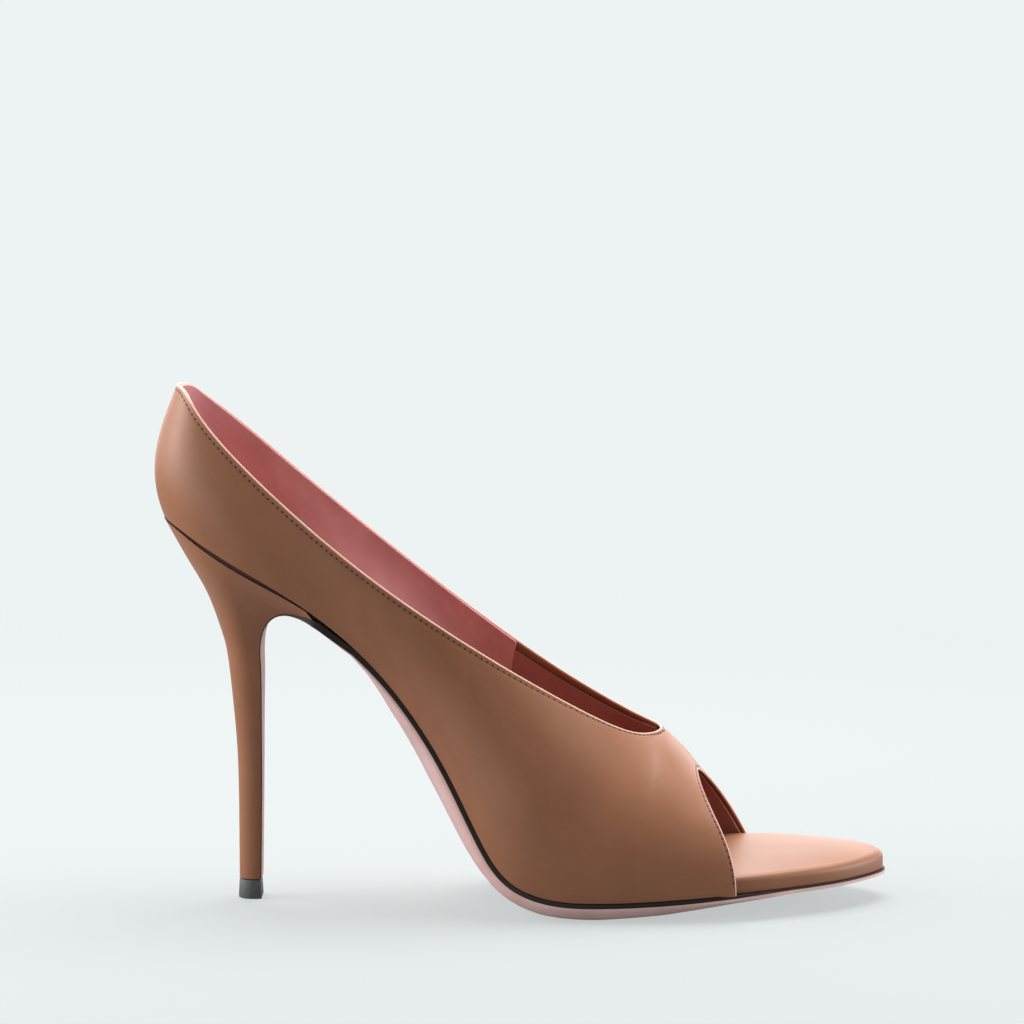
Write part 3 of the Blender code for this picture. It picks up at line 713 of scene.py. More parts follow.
@dataclass(frozen=True)
class Satin(Finish):
    """Woven satin: long floats along the cloth, a soft sheen and faint slubs."""

    low: tuple = (0.255, 0.092, 0.040)
    high: tuple = (0.300, 0.114, 0.052)
    roughness: float = 0.5
    weave: float = 0.32         # distance between two floats, mm
    float_length: float = 5.0   # length of a float, in such distances
    weft_share: float = 0.3     # how much the floats' ends tell in the bump
    bump: float = 0.10
    depth: float = 0.00006      # of the weave, m
    patches: float = 0.09       # broad patches to a mm
    patch_share: float = 0.55   # how much they tell in the colour
    slubs: float = 1.7          # fine slubs to a mm

    def inputs(self, graph: Graph, place: Socket) -> dict:
        """Colour from broad and fine noise; bump from two crossed waves of the weave."""
        broad = graph.math("MULTIPLY", graph.noise(place, self.patches, detail=2.0), self.patch_share)
        fine = graph.noise(place, self.slubs, detail=3.0)
        blend = graph.math("ADD", broad, graph.math("MULTIPLY", fine, 1 - self.patch_share))
        warp = graph.wave(place, self.weave, "Y", distortion=0.6, detail=1.0)
        weft = graph.wave(place, self.weave * self.float_length, "X", distortion=1.2, detail=1.0)
        cloth = graph.math("ADD", warp, graph.math("MULTIPLY", weft, self.weft_share))
        return {
            "Base Color": graph.ramp(blend, self.low, self.high),
            "Roughness": graph.scaled(fine, self.roughness - 0.05, self.roughness + 0.06),
            "Normal": graph.bump(cloth, self.bump, self.depth),
            "Tangent": graph.node("Tangent", direction_type="UV_MAP").outputs["Tangent"],
            "Anisotropic": 0.3,
            "Specular IOR Level": 0.62,
            "Specular Tint": (1.0, 0.92, 0.87, 1.0),
            "Sheen Weight": 0.12,
            "Sheen Roughness": 0.35,
            "Sheen Tint": (1.0, 0.74, 0.6, 1.0),
        }


@dataclass(frozen=True)
class Leather(Finish):
    """Smooth leather with a fine grain."""

    roughness: float = 0.5
    patches: float = 0.08   # broad patches to a mm
    grain: float = 1.4      # grains to a mm
    bump: float = 0.12

    def inputs(self, graph: Graph, place: Socket) -> dict:
        """Colour from broad noise; bump from small rounded cells and fine noise."""
        broad = graph.noise(place, self.patches, detail=3.0)
        fine = graph.noise(place, self.grain * 2, detail=2.0)
        cells = graph.node("TexVoronoi", {"Vector": place, "Scale": self.grain}, feature="SMOOTH_F1")
        height = graph.math("ADD", cells.outputs["Distance"], graph.math("MULTIPLY", fine, 0.5))
        return {
            "Base Color": graph.ramp(broad, self.low, self.high),
            "Roughness": graph.scaled(fine, self.roughness - 0.06, self.roughness + 0.08),
            "Normal": graph.bump(height, self.bump),
            "Specular IOR Level": 0.4,
        }


@dataclass(frozen=True)
class EdgePaint(Finish):
    """Dark paint on the sole's cut edge, with faint lines along it."""

    low: tuple = (0.012, 0.008, 0.007)
    high: tuple = (0.026, 0.017, 0.014)
    drawn: tuple = (0.25, 4.0, 1.0)     # lines to a mm along and across the edge

    def inputs(self, graph: Graph, place: Socket) -> dict:
        """Colour and gloss from noise drawn out along the edge."""
        drawn = graph.node("Mapping", {"Vector": place, "Scale": self.drawn}).outputs["Vector"]
        lines = graph.noise(drawn, scale=1.0, detail=3.0)
        return {
            "Base Color": graph.ramp(lines, self.low, self.high),
            "Roughness": graph.scaled(lines, 0.5, 0.65),
            "Specular IOR Level": 0.3,
            "Normal": graph.bump(lines, strength=0.15),
        }


@dataclass(frozen=True)
class Rubber(Finish):
    """Dense dark rubber of the top lift, faintly pitted."""

    low: tuple = (0.066, 0.067, 0.067)
    high: tuple = (0.100, 0.102, 0.102)
    patches: float = 0.6    # broad patches to a mm
    pits: float = 5.0       # pits to a mm

    def inputs(self, graph: Graph, place: Socket) -> dict:
        """Colour from noise; bump from fine noise."""
        broad = graph.noise(place, self.patches, detail=3.0)
        fine = graph.noise(place, self.pits, detail=2.0)
        return {
            "Base Color": graph.ramp(broad, self.low, self.high),
            "Roughness": graph.scaled(fine, 0.5, 0.68),
            "Normal": graph.bump(fine, strength=0.2),
        }


@dataclass(frozen=True)
class Thread(Finish):
    """Twisted sewing thread."""

    twist: float = 0.22         # distance between two turns of the twist, mm
    depth: float = 0.00008      # of the twist, m

    def inputs(self, graph: Graph, place: Socket) -> dict:
        """Colour and bump from slanting waves across the thread."""
        turns = graph.wave(place, self.twist, "DIAGONAL", distortion=0.3)
        return {
            "Base Color": graph.ramp(turns, self.low, self.high),
            "Roughness": graph.scaled(turns, 0.45, 0.6),
            "Normal": graph.bump(turns, strength=0.4, distance=self.depth),
        }


@dataclass
class Skin:
    """A grid on the upper, columns first: its points, outward normals and places on the cloth."""

    points: Array
    normals: Array
    spots: Array


@dataclass
class Rim:
    """A closed rim of a wall: runs of (skin number, column numbers, row numbers), bulge and finishes."""

    runs: list
    bulge: float
    finish: Array = 0

    def gather(self, grids: list) -> Array:
        """The rim's entries, in order, of one grid for each skin."""
        return np.concatenate([grids[k][i, j] for k, i, j in self.runs])


def join_normals(one: Skin, two: Skin, one_columns: Array, two_columns: Array) -> None:
    """Give two skins their mean normal where columns of their top rows meet."""
    mean = unit(one.normals[one_columns, -1] + two.normals[two_columns, -1])
    one.normals[one_columns, -1] = mean
    two.normals[two_columns, -1] = mean


def add_wall(piece: Piece, skins: list[Skin], depth: float, thick: float, rims: list[Rim],
             steps: int = 6) -> None:
    """A closed wall under grids of the upper, with rounded rims.

    The outer and the inner face are the grid moved in along its normals. A rim point at angle a is
    p - thick / 2 (1 - cos a) n + bulge sin a b, where n is the normal and b points out of the face at
    its rim.

    Args:
        piece: the piece that takes the wall.
        skins: the grids.
        depth: how far the wall's outer face lies under the grids, mm.
        thick: the wall's thickness, mm.
        rims: the rims that close it.
        steps: faces across a rim.
    """
    outer = [piece.add(skin.points - skin.normals * depth, skin.spots) for skin in skins]
    inner = [piece.add(skin.points - skin.normals * (depth + thick), skin.spots) for skin in skins]
    for face, back in zip(outer, inner):
        piece.quads(face.T)
        piece.quads(back.T[:, ::-1])
    for rim in rims:
        normals = rim.gather([skin.normals for skin in skins])
        points = rim.gather([skin.points for skin in skins]) - normals * depth
        spots = rim.gather([skin.spots for skin in skins])
        run = unit(np.roll(points, -1, axis=0) - np.roll(points, 1, axis=0))
        away = unit(np.cross(normals, run))
        angle = np.linspace(0, np.pi, steps + 1)[1:-1, None, None]
        places = points - thick / 2 * (1 - np.cos(angle)) * normals + rim.bulge * np.sin(angle) * away
        offset = np.concatenate([np.zeros_like(angle), thick * angle / np.pi], axis=-1)
        rings = piece.add(places, spots + offset)
        closed = np.concatenate([rim.gather(outer)[None], rings, rim.gather(inner)[None]])
        piece.ring_quads(closed, rim.finish)


@dataclass
class Upper:
    """The satin upper with its folded edges, its linings and its stitches: sizes in mm, places in rows."""

    last: Last
    satin: Material
    # lighter satin on the collar's rim and the toe opening's edges: a painted highlight where the folded edge
    # catches the light
    edge_satin: Material
    quarter_leather: Material
    # the vamp's lining is darker: partly its own deeper rose, partly painted shade inside the vamp
    vamp_leather: Material
    thread: Material
    # dark colour of the needle holes: painted shade inside the holes
    hole: Material
    satin_thick: float = 0.75       # satin and stiffener
    lining_thick: float = 0.8
    lining_depth: float = 0.77      # lining's back under the satin's outer face
    vamp_depth: float = 1.0         # the same in the vamp
    vamp_thick: float = 0.57
    lining_shares: tuple = (0.01, 0.9, 1.0)     # a lining's foot, where its steps get finer, and its edge
    fold: float = 0.42              # how far the folded hem stands out of the wall's end
    collar_fold: float = 0.52       # the same along the collar
    fold_ends: float = 9.3          # row from which the collar's fold runs out towards the throat
    quarter_edge: float = 0.5       # lining's edge under the collar's edge, heel to waist
    vamp_edge: float = 3.0          # the same in the vamp, where a turned-in band of satin shows
    toe_band: float = 2.3           # turned-in band at the toe opening
    seam_row: float = 6.45          # where the two linings meet
    seam_half: float = 0.012        # half the seam's width, rows
    stitch_depth: float = 1.50      # collar's stitches under its edge, in the quarters and at the throat
    throat_stitch: float = 0.9
    stitch_rows: tuple = (6.3, 8.6)     # between which they go from the one to the other
    throat_reach: float = 0.6       # rows before the throat in which the line of stitches is finer
    toe_stitch_depth: float = 1.0   # toe opening's stitches behind its edge
    toe_stitch_from: float = 0.03   # rise of the first of them
    pitch: float = 1.85             # from one stitch to the next
    trough: float = 0.06            # how deep the stitches draw the satin in
    trough_half: float = 0.6        # how wide that is to each side
    grain: tuple = (0.52, 0.17, 0.13)   # a stitch's half length, half width and half height
    grain_power: float = 0.6        # under 1 for blunt ends
    grain_sink: float = 0.02
    hole_half: tuple = (0.42, 0.36)     # a needle hole's half length and half width
    hole_shares: tuple = (0.0, 0.6, 0.9, 1.0, 0.7, 0.0)     # size of each of its rings
    hole_levels: tuple = (0.035, 0.04, 0.03, -0.03, -0.06, -0.06)   # and height
    run_step: float = 0.2           # half the distance over which a stitch's direction is taken
    smoothing: int = 60             # rounds of evening out below the throat
    even_rows: tuple = (8.6, 9.4, 10.8, 11.6)   # where that sets in, is full, lessens and ends
    even_below: tuple = (0.5, 4.0)  # distances under the top edge, and over the foot, at which it sets in
    even_above: tuple = (1.0, 6.0)
    toe_drop: float = 0.5           # how far the hem reaches over the sole's edge at the toe opening
    toe_drop_from: float = 12.4
    heel_drop: float = 0.15         # and over the heel's edge
    heel_drop_ends: tuple = (3.0, 4.6)
    toe_fold: float = 0.06          # rows that the satin's grid leaves to the fold at the toe opening
    fine_from: float = 12.2         # row from which that grid is finer
    row_steps: tuple = (160, 35, 40)    # its steps to the throat, to that row and to its end
    strip: float = 0.2              # width of its fine strips under the top edge
    strip_count: int = 20
    wall_steps: int = 30            # steps from those strips to the foot
    rim_steps: int = 10             # faces across its rims
    edge_points: tuple = (130, 50)  # points at which the collar's and the toe opening's edges are kept
    contour_steps: int = 120        # places on a section at which its distance from the collar is read
    contour_rise: float = 0.7       # how far down they go
    toe_span: float = 0.4           # rows over which a distance from the toe opening is measured
    quarter_rows: int = 110         # sections of the quarters' lining
    quarter_steps: tuple = (25, 12)     # its steps up
    vamp_steps: tuple = (29, 15)    # the vamp lining's steps up
    vamp_rows: tuple = (90, 39)     # its steps to where both sides meet on the ridge, and on to the toe
    line_steps: tuple = (149, 79)   # steps of the line of stitches to near the throat, and on to the ridge
    toe_line: int = 120             # points of each side's line at the toe opening
    grain_steps: tuple = (8, 14)    # faces along and round a stitch
    hole_steps: int = 12            # faces round a hole
    collar: Array = field(init=False)
    toe: Array = field(init=False)

    def __post_init__(self) -> None:
        """Keep the collar's edge and the toe opening's edge as lines."""
        last = self.last
        rows = np.linspace(0, THROAT, self.edge_points[0])
        rises = np.linspace(0, 1, self.edge_points[1])
        ends = np.full_like(rises, TOE_ROW)
        self.collar = np.concatenate([last.top_edge(side, rows)[order] for side, order in ROUND_HEEL.items()])
        self.toe = np.concatenate([last.wall(side, ends, rises)[order] for side, order in OVER_RIDGE.items()])

    def height(self, side: Side, rows: Array) -> Array:
        """Straight distance from the foot to the top edge of each section."""
        foot = self.last.wall(side, rows, np.zeros_like(rows))
        return np.linalg.norm(self.last.top_edge(side, rows) - foot, axis=-1)

    def contour(self, side: Side, rows: Array, depth: Array) -> Array:
        """Rise at which a section is a given distance from the collar, 1 where its top is further away."""
        steps = np.linspace(1.0, self.contour_rise, self.contour_steps + 1)
        gap = distance_to_line(self.last.wall(side, rows[:, None], steps[None]), self.collar)
        depth = np.broadcast_to(depth, rows.shape)
        first = np.argmax(gap >= depth[:, None], axis=1)
        before = np.maximum(first - 1, 0)
        pick = np.arange(len(rows))
        rise = np.maximum(gap[pick, first] - gap[pick, before], TINY)
        share = (depth - gap[pick, before]) / rise
        return np.where(first > 0, steps[before] + share * (steps[first] - steps[before]), 1.0)

    def stitch_at(self, rows: Array) -> Array:
        """Distance of the collar's stitches from its edge at row numbers."""
        change = smooth_step(*self.stitch_rows, rows)
        return self.stitch_depth + (self.throat_stitch - self.stitch_depth) * change

    def ridge_row(self, depth: float) -> float:
        """Row number at which the ridge is a given distance from the collar."""
        rows = np.linspace(THROAT, TOE_ROW, SEARCH_STEPS)
        gap = distance_to_line(self.last.top_edge(Side.LATERAL, rows), self.collar)
        return float(np.interp(depth, gap, rows))

    def toe_row(self, side: Side, rises: Array, depth: float) -> Array:
        """Row number at which the wall is a given distance behind the toe opening's edge."""
        ends = self.last.wall(side, np.full_like(rises, TOE_ROW), rises)
        run = ends - self.last.wall(side, np.full_like(rises, TOE_ROW - self.toe_span), rises)
        return TOE_ROW - self.toe_span * depth / np.linalg.norm(run, axis=-1)

    def spots(self, points: Array) -> Array:
        """Places on the cloth: length round the shoe at mid height, and length up the section."""
        round_shoe = run_length(points[:, points.shape[1] // 2])
        up = run_length(points, axis=1)
        return np.stack([np.broadcast_to(round_shoe[:, None], up.shape), up], axis=-1)

    def face(self, rows: dict, rises: dict, orders: dict) -> tuple[Array, Array]:
        """Points of the upper's outer face on both sides, one side after the other.

        Args:
            rows: row numbers for each side.
            rises: rises for each side, of the same shape.
            orders: the order of each side's points, in the order of the sides.

        Returns:
            The points and their outward normals.
        """
        parts = [(side, rows[side][order], rises[side][order]) for side, order in orders.items()]
        points = np.concatenate([self.last.wall(*part) for part in parts])
        normals = np.concatenate([self.last.wall_normal(*part) for part in parts])
        return points, normals

    def skin(self, rows: Array, rises: dict) -> Skin:
        """A grid from the medial side round the heel to the lateral side.

        Args:
            rows: row numbers, growing from the heel.
            rises: rises for each side, a row of them for each row number.

        Returns:
            The grid with its normals.
        """
        wide = {side: np.broadcast_to(rows[:, None], rises[side].shape) for side in Side}
        points, normals = self.face(wide, rises, ROUND_HEEL)
        return Skin(points, normals, self.spots(points))

    def build(self) -> None:
        """Make the satin wall, both linings and the stitches."""
        self.build_satin()
        self.build_quarter_lining()
        self.build_vamp_lining()
        self.build_stitches()

    def build_satin(self) -> None:
        """Satin wall: the upper's outer face with fine strips at its edges, drawn in along the stitches."""
        rows = stretches((0, THROAT, self.fine_from, TOE_ROW - self.toe_fold), self.row_steps)
        fine = np.arange(self.strip_count + 1) * self.strip
        coarse = np.linspace(0, 1, self.wall_steps + 1)[1:]
        pull = wall_value("edge_pull", rows)[:, None]
        start = self.collar_fold * (1 - smooth_step(self.fold_ends, THROAT, rows))[:, None]
        drop = self.toe_drop * smooth_step(self.toe_drop_from, TOE_ROW, rows)
        drop = drop + self.heel_drop * (1 - smooth_step(*self.heel_drop_ends, rows))
        rises = {}
        for side in Side:
            height = self.height(side, rows)[:, None]
            upper = 1 - (start + fine) / (3 * pull * height)
            foot = (self.fold - drop[:, None]) / height
            lower = upper[:, -1:] + (foot - upper[:, -1:]) * coarse
            rises[side] = np.concatenate([upper, lower], axis=1)[:, ::-1]
        skin = self.skin(rows, rises)
        both = np.concatenate([rows[:0:-1], rows])
        self.smooth_vamp(skin, both)
        collar_gap = distance_to_line(skin.points, self.collar) - self.stitch_at(both)[:, None]
        toe_gap = distance_to_line(skin.points, self.toe) - self.toe_stitch_depth
        drawn = np.exp(-(collar_gap / self.trough_half) ** 2) + np.exp(-(toe_gap / self.trough_half) ** 2)
        heel = len(rows) - 1
        ridge = np.arange(len(rows))[rows >= THROAT]
        join_normals(skin, skin, heel - ridge, heel + ridge)
        skin.points = skin.points - skin.normals * (self.trough * np.clip(drawn, 0, 1))[..., None]
        throat = self.row_steps[0]
        collar_columns = np.arange(heel - throat, heel + throat)
        count, height = skin.points.shape[:2]
        top = height - 1
        up = np.arange(top)
        down = np.arange(top, 0, -1)
        # the collar's rim and the hem's ends at the toe opening take the lighter satin, a painted highlight
        # along the fold
        collar = Rim([(0, collar_columns, top)], self.collar_fold, 1)
        hem_runs = [(0, np.arange(count - 1, 0, -1), 0), (0, 0, up), (0, count - 1, down)]
        hem = Rim(hem_runs, self.fold, np.repeat([0, 1], [count - 1, 2 * top]))
        piece = Piece("upper_satin")
        add_wall(piece, [skin], 0.0, self.satin_thick, [collar, hem], self.rim_steps)
        made = piece.make([self.satin, self.edge_satin])
        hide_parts("upper")

    def smooth_vamp(self, skin: Skin, rows: Array) -> None:
        """Even out the satin below the throat, where the sections turn from the collar to the ridge.

        Each line along the shoe is blended with its own running mean, repeated, by a weight that is 1 below
        the throat and 0 at the collar, the ridge, the foot and away from the throat.

        Args:
            skin: the satin's grid, whose points are changed.
            rows: the row number of each of its columns.
        """
        near = smooth_step(*self.even_rows[:2], rows) * (1 - smooth_step(*self.even_rows[2:], rows))
        below = smooth_step(*self.even_below, np.linalg.norm(skin.points - skin.points[:, -1:], axis=2))
        above = smooth_step(*self.even_above, np.linalg.norm(skin.points - skin.points[:, :1], axis=2))
        weight = (near[:, None] * below * above)[..., None]
        for _ in range(self.smoothing):
            mean = skin.points.copy()
            mean[1:-1] = (skin.points[:-2] + 2 * skin.points[1:-1] + skin.points[2:]) / 4
            skin.points = skin.points + weight * (mean - skin.points)

    def build_quarter_lining(self) -> None:
        """Pink leather inside the quarters and round the heel, up to just under the collar's edge."""
        rows = np.linspace(0, self.seam_row - self.seam_half, self.quarter_rows)
        share = stretches(self.lining_shares, self.quarter_steps)
        rises = {side: self.contour(side, rows, self.quarter_edge)[:, None] * share for side in Side}
        skin = self.skin(rows, rises)
        count, height = skin.points.shape[:2]
        last = count - 1
        top = height - 1
        runs = [(0, np.arange(last), top), (0, last, np.arange(top, 0, -1)),
                (0, np.arange(last, 0, -1), 0), (0, 0, np.arange(top))]
        rim = Rim(runs, self.lining_thick / 2)
        piece = Piece("quarter_lining")
        add_wall(piece, [skin], self.lining_depth, self.lining_thick, [rim])
        piece.make([self.quarter_leather])

    def build_vamp_lining(self) -> None:
        """Leather inside the vamp, a darker rose than the quarters' partly by its own colour and partly as
        painted shade of the vamp's inside, under a turned-in band of satin at the collar and the toe.
        """
        first = self.seam_row + self.seam_half
        share = stretches(self.lining_shares, self.vamp_steps)
        meet = self.ridge_row(self.vamp_edge)
        skins = []
        for side in Side:
            end = self.toe_row(side, share, self.toe_band)
            along = stretches((0.0, (meet - first) / (end[-1] - first), 1.0), self.vamp_rows)
            rows = first + (end[None] - first) * along[:, None]
            tops = self.contour(side, rows[:, -1], self.vamp_edge)
            rises = np.where(rows[:, -1] >= meet, 1.0, tops)[:, None] * share
            order = slice(None, None, -1) if side is Side.MEDIAL else slice(None)
            points, normals = self.face({side: rows}, {side: rises}, {side: order})
            skins.append(Skin(points, normals, self.spots(points)))
        count, height = skins[0].points.shape[:2]
        last = count - 1
        top = height - 1
        joined = self.vamp_rows[0]
        ridge = np.arange(joined, count)
        join_normals(*skins, ridge, last - ridge)
        up = np.arange(top)
        down = np.arange(top, 0, -1)
        back = np.arange(last, 0, -1)
        runs = [(0, 0, up), (0, np.arange(joined), top), (1, np.arange(last - joined, last), top),
                (1, last, down), (1, back, 0), (1, 0, up), (0, last, down), (0, back, 0)]
        rim = Rim(runs, self.vamp_thick / 2)
        piece = Piece("vamp_lining")
        add_wall(piece, skins, self.vamp_depth, self.vamp_thick, [rim])
        piece.make([self.vamp_leather])

    def build_stitches(self) -> None:
        """Rows of stitches along the collar and the toe opening, with their needle holes."""
        end = self.ridge_row(self.throat_stitch)
        rows = stretches((0.0, THROAT - self.throat_reach, end), self.line_steps)
        rises = {side: self.contour(side, rows, self.stitch_at(rows)) for side in Side}
        self.sew("collar", *self.face(dict.fromkeys(Side, rows), rises, ROUND_HEEL))
        up = np.linspace(self.toe_stitch_from, 1, self.toe_line)
        rows = {side: self.toe_row(side, up, self.toe_stitch_depth) for side in Side}
        self.sew("toe", *self.face(rows, dict.fromkeys(Side, up), OVER_RIDGE))

    def sew(self, name: str, line: Array, normals: Array) -> None:
        """Stitches along a line on the satin: rounded grains of thread, and dimples between them, dark with
        painted shade.

        A grain is a blunt ellipsoid drawn out along the line: sin a along it, and cos a to a power times cos
        b across and sin b up. A hole is a flat dark lens, painted shade of the hole, whose rim dips under the
        satin.

        Args:
            name: what is sewn.
            line: points of the line.
            normals: the satin's outward normals there.
        """
        length = run_length(line)
        count = int(length[-1] / self.pitch)
        places = (np.arange(count) + 0.5) * length[-1] / count
        gaps = np.arange(1, count) * length[-1] / count
        turn = np.linspace(0, 2 * np.pi, self.grain_steps[1] + 1)
        reach = np.linspace(-np.pi / 2, np.pi / 2, self.grain_steps[0] + 1)[:, None]
        half_length, half_width, half_height = self.grain
        thin = np.cos(reach) ** self.grain_power
        grain = np.stack([
            half_length * np.sin(reach) * np.ones_like(turn),
            half_width * thin * np.cos(turn),
            half_height * thin * np.sin(turn) - self.grain_sink,
        ], axis=-1)
        angle = np.linspace(0, 2 * np.pi, self.hole_steps + 1)
        radius = np.array(self.hole_shares)[:, None]
        bowl = np.stack([
            self.hole_half[0] * radius * np.cos(angle),
            -self.hole_half[1] * radius * np.sin(angle),
            np.array(self.hole_levels)[:, None] * np.ones_like(angle),
        ], axis=-1)
        for title, shape, at, finish in (
                ("thread", grain, places, self.thread), ("holes", bowl, gaps, self.hole)):
            up = unit(read_line(normals, length, at))
            before = read_line(line, length, at - self.run_step)
            run = unit(read_line(line, length, at + self.run_step) - before)
            axes = np.stack([run, np.cross(up, run), up], axis=1)
            base = read_line(line, length, at) - up * self.trough
            points = base[:, None, None] + np.einsum("abk,skd->sabd", shape, axes)
            piece = Piece(f"{name}_{title}")
            numbers = piece.add(points, shape[None, ..., :2] + at[:, None, None, None])
            piece.quads(numbers.swapaxes(1, 2))
            piece.make([finish], turn_out=True)


def add_ring(piece: Piece, sheet: Sheet, flat: Array, height: Array, over: Array = 0.0) -> Array:
    """A ring of points off a sheet, no lower than the floor.

    Args:
        piece: the piece that takes the ring.
        sheet: the sheet.
        flat: the ring, flattened.
        height: its height off the sheet.
        over: how much further across its places on the cloth lie.

    Returns:
        The ring's point numbers.
    """
    places = np.maximum(sheet.place(flat[:, 0], flat[:, 1], height), FLOOR_LIMIT)
    return piece.add(places, np.stack([flat[:, 0], flat[:, 1] + over], axis=-1))


def strips(piece: Piece, sheet: Sheet, ring: Array, loop: Array, height: Array, bulge: Array, finish: int,
           steps: int = 36) -> None:
    """Close a ring with strips from its lateral to its medial half.

    A strip's point at share s across lies at the height between its two ends, less bulge (1 - (2 s - 1)^2),
    off the sheet.

    Args:
        piece: the piece that takes the strips.
        sheet: the sheet that the ring lies on.
        ring: the ring's point numbers.
        loop: the ring, flattened.
        height: the ring's height off the sheet.
        bulge: how far the middle lies below the ring.
        finish: number of the finish.
        steps: strips across.
    """
    half = len(loop) // 2
    share = np.linspace(0, 1, steps + 1)[1:-1]
    lateral = loop[1:half, None]
    medial = loop[:half:-1, None]
    flat = lateral * (1 - share[:, None]) + medial * share[:, None]
    hump = 1 - (2 * share - 1) ** 2
    level = np.broadcast_to(height, len(loop))
    level = level[1:half, None] * (1 - share) + level[:half:-1, None] * share - bulge[1:half, None] * hump
    places = np.maximum(sheet.place(flat[..., 0], flat[..., 1], level), FLOOR_LIMIT)
    inner = piece.add(places, flat)
    grid = np.column_stack([ring[1:half], inner, ring[:half:-1]])
    first = np.full_like(grid[:1], ring[0])
    last = np.full_like(grid[:1], ring[half])
    piece.quads(np.concatenate([first, grid, last]), finish)


@dataclass
class Insole:
    """The insole board with its satin cover, bare at the open toe: sizes and places along the shoe in mm."""

    last: Last
    satin: Material
    feather_steps: int = 14
    round_steps: int = 8
    under_steps: int = 4
    under_round: float = 0.5
    cover_round: float = 0.9    # rounding of the upper edge inside the shoe
    cover_ends: tuple = (130.0, 155.0)      # where that grows to the full rounding
    lining_face: float = 1.65   # how far the insole's side lies under the satin's face inside the shoe
    lining_rise: float = 0.4    # share of the wall in which the insole's side lies
    rise_steps: int = 160       # places at which that share is read
    spread_ends: tuple = (11.4, 12.4)       # feather rows between which the spread to the lining ends
    bare_from: tuple = (160.0, 190.0)       # where the bare toe sets in
    toe_round: float = 0.6      # more rounding at the bare toe
    toe_round_from: tuple = (160.0, 200.0)
    toe_padding: float = 0.3    # more thickness at the bare toe
    toe_tilt: float = 0.5       # and more on the inner side, as much less on the outer
    tilt_reach: float = 15.0    # distance from the middle line at which the tilt is full
    toe_crown: float = 1.3      # how far the bare toe's middle stands higher
    crown_ends: tuple = (198.0, 212.0)

    def reach(self, side: Side, rows: Array, height: Array) -> Array:
        """How far the lining's face lies from the feather line at a height off the bottom, flattened.

        Points of the face are dropped onto the bottom: the length along its line is corrected by what is
        left of the offset along the line, a few times over. Each section is then read where it reaches the
        height.

        Args:
            side: which side of the foot.
            rows: feather row numbers.
            height: height off the bottom at each row, mm.

        Returns:
            The difference along and across for each row, mm.
        """
        last = self.last
        fine = np.linspace(0, TOE_ROW, SEARCH_STEPS)
        wall_rows = np.interp(rows, wall_value("stand", fine), fine)[:, None]
        rises = np.linspace(0.0, self.lining_rise, self.rise_steps + 1)[None]
        normals = last.wall_normal(side, wall_rows, rises)
        face = last.wall(side, wall_rows, rises) - self.lining_face * normals
        spot = face[..., [0, 2]]
        along = last.bottom.along(spot[..., 0])
        for _ in range(DROP_ROUNDS):
            normal = last.bottom.normal(along)
            offset = spot - last.bottom.point(along)
            along = along + offset[..., 0] * normal[..., 1] - offset[..., 1] * normal[..., 0]
        level = np.sum((spot - last.bottom.point(along)) * last.bottom.normal(along), axis=-1)
        first = np.argmax(level >= height[:, None], axis=1)
        pick = np.arange(len(rows))
        return np.stack([along[pick, first], face[pick, first, 1]], axis=-1) - last.edge_line(side, rows)

    def build(self) -> None:
        """Rings from the lower edge up the side and round onto the top, then strips across.

        Inside the shoe each ring is spread towards the lining in step with its height.
        """
        last = self.last
        sizes = last.sizes
        out = between(FEATHER, self.feather_steps)
        back = out[-2:0:-1]
        line = np.concatenate([last.edge_line(Side.LATERAL, out), last.edge_line(Side.MEDIAL, back)])
        loop = inset(line, sizes.wall + sizes.gap)
        x = last.bottom.point(loop[:, 0])[:, 0]
        bulge = last.feather_value("dome", x)
        bare = smooth_step(*self.bare_from, x)
        grown = smooth_step(*self.cover_ends, x)
        radius = self.cover_round + (sizes.insole_round - self.cover_round) * grown
        radius = radius + self.toe_round * smooth_step(*self.toe_round_from, x)
        tilt = self.toe_tilt * np.clip(loop[:, 1] / self.tilt_reach, -1, 1)
        thick = sizes.insole_thick + bare * (self.toe_padding + tilt)
        side_height = thick - radius
        reach = np.concatenate([
            self.reach(Side.LATERAL, out, side_height[:len(out)]),
            self.reach(Side.MEDIAL, back, side_height[len(out):]),
        ])
        inside = 1 - smooth_step(*self.spread_ends, np.concatenate([out, back]))
        spread = (line + reach - loop) * (inside / side_height)[:, None]
        low = np.linspace(np.pi / 2, 0, self.under_steps + 1)[:, None] * np.ones_like(x)
        high = np.linspace(0, np.pi / 2, self.round_steps + 1)[:, None] * np.ones_like(x)
        depths = np.concatenate([self.under_round * (1 - np.cos(low)), radius * (1 - np.cos(high))])
        heights = np.concatenate([self.under_round * (1 - np.sin(low)), thick - radius * (1 - np.sin(high))])
        piece = Piece("insole_cover")
        rings = []
        for depth, height in zip(depths, heights):
            drawn = inset(loop + spread * np.reshape(height, (-1, 1)), depth)
            over = np.sign(drawn[:, 1]) * (thick - height)
            rings.append(add_ring(piece, last.bottom, drawn, height, over))
        piece.ring_quads(np.stack(rings))
        strips(piece, last.bottom, rings[0], inset(loop, depths[0]), 0.0, bulge, 0)
        crown = self.toe_crown * bare * (1 - smooth_step(*self.crown_ends, x))
        strips(piece, last.bottom, rings[-1], drawn, thick, bulge - crown, 0)
        made = piece.make([self.satin], turn_out=True)
        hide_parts("insole")


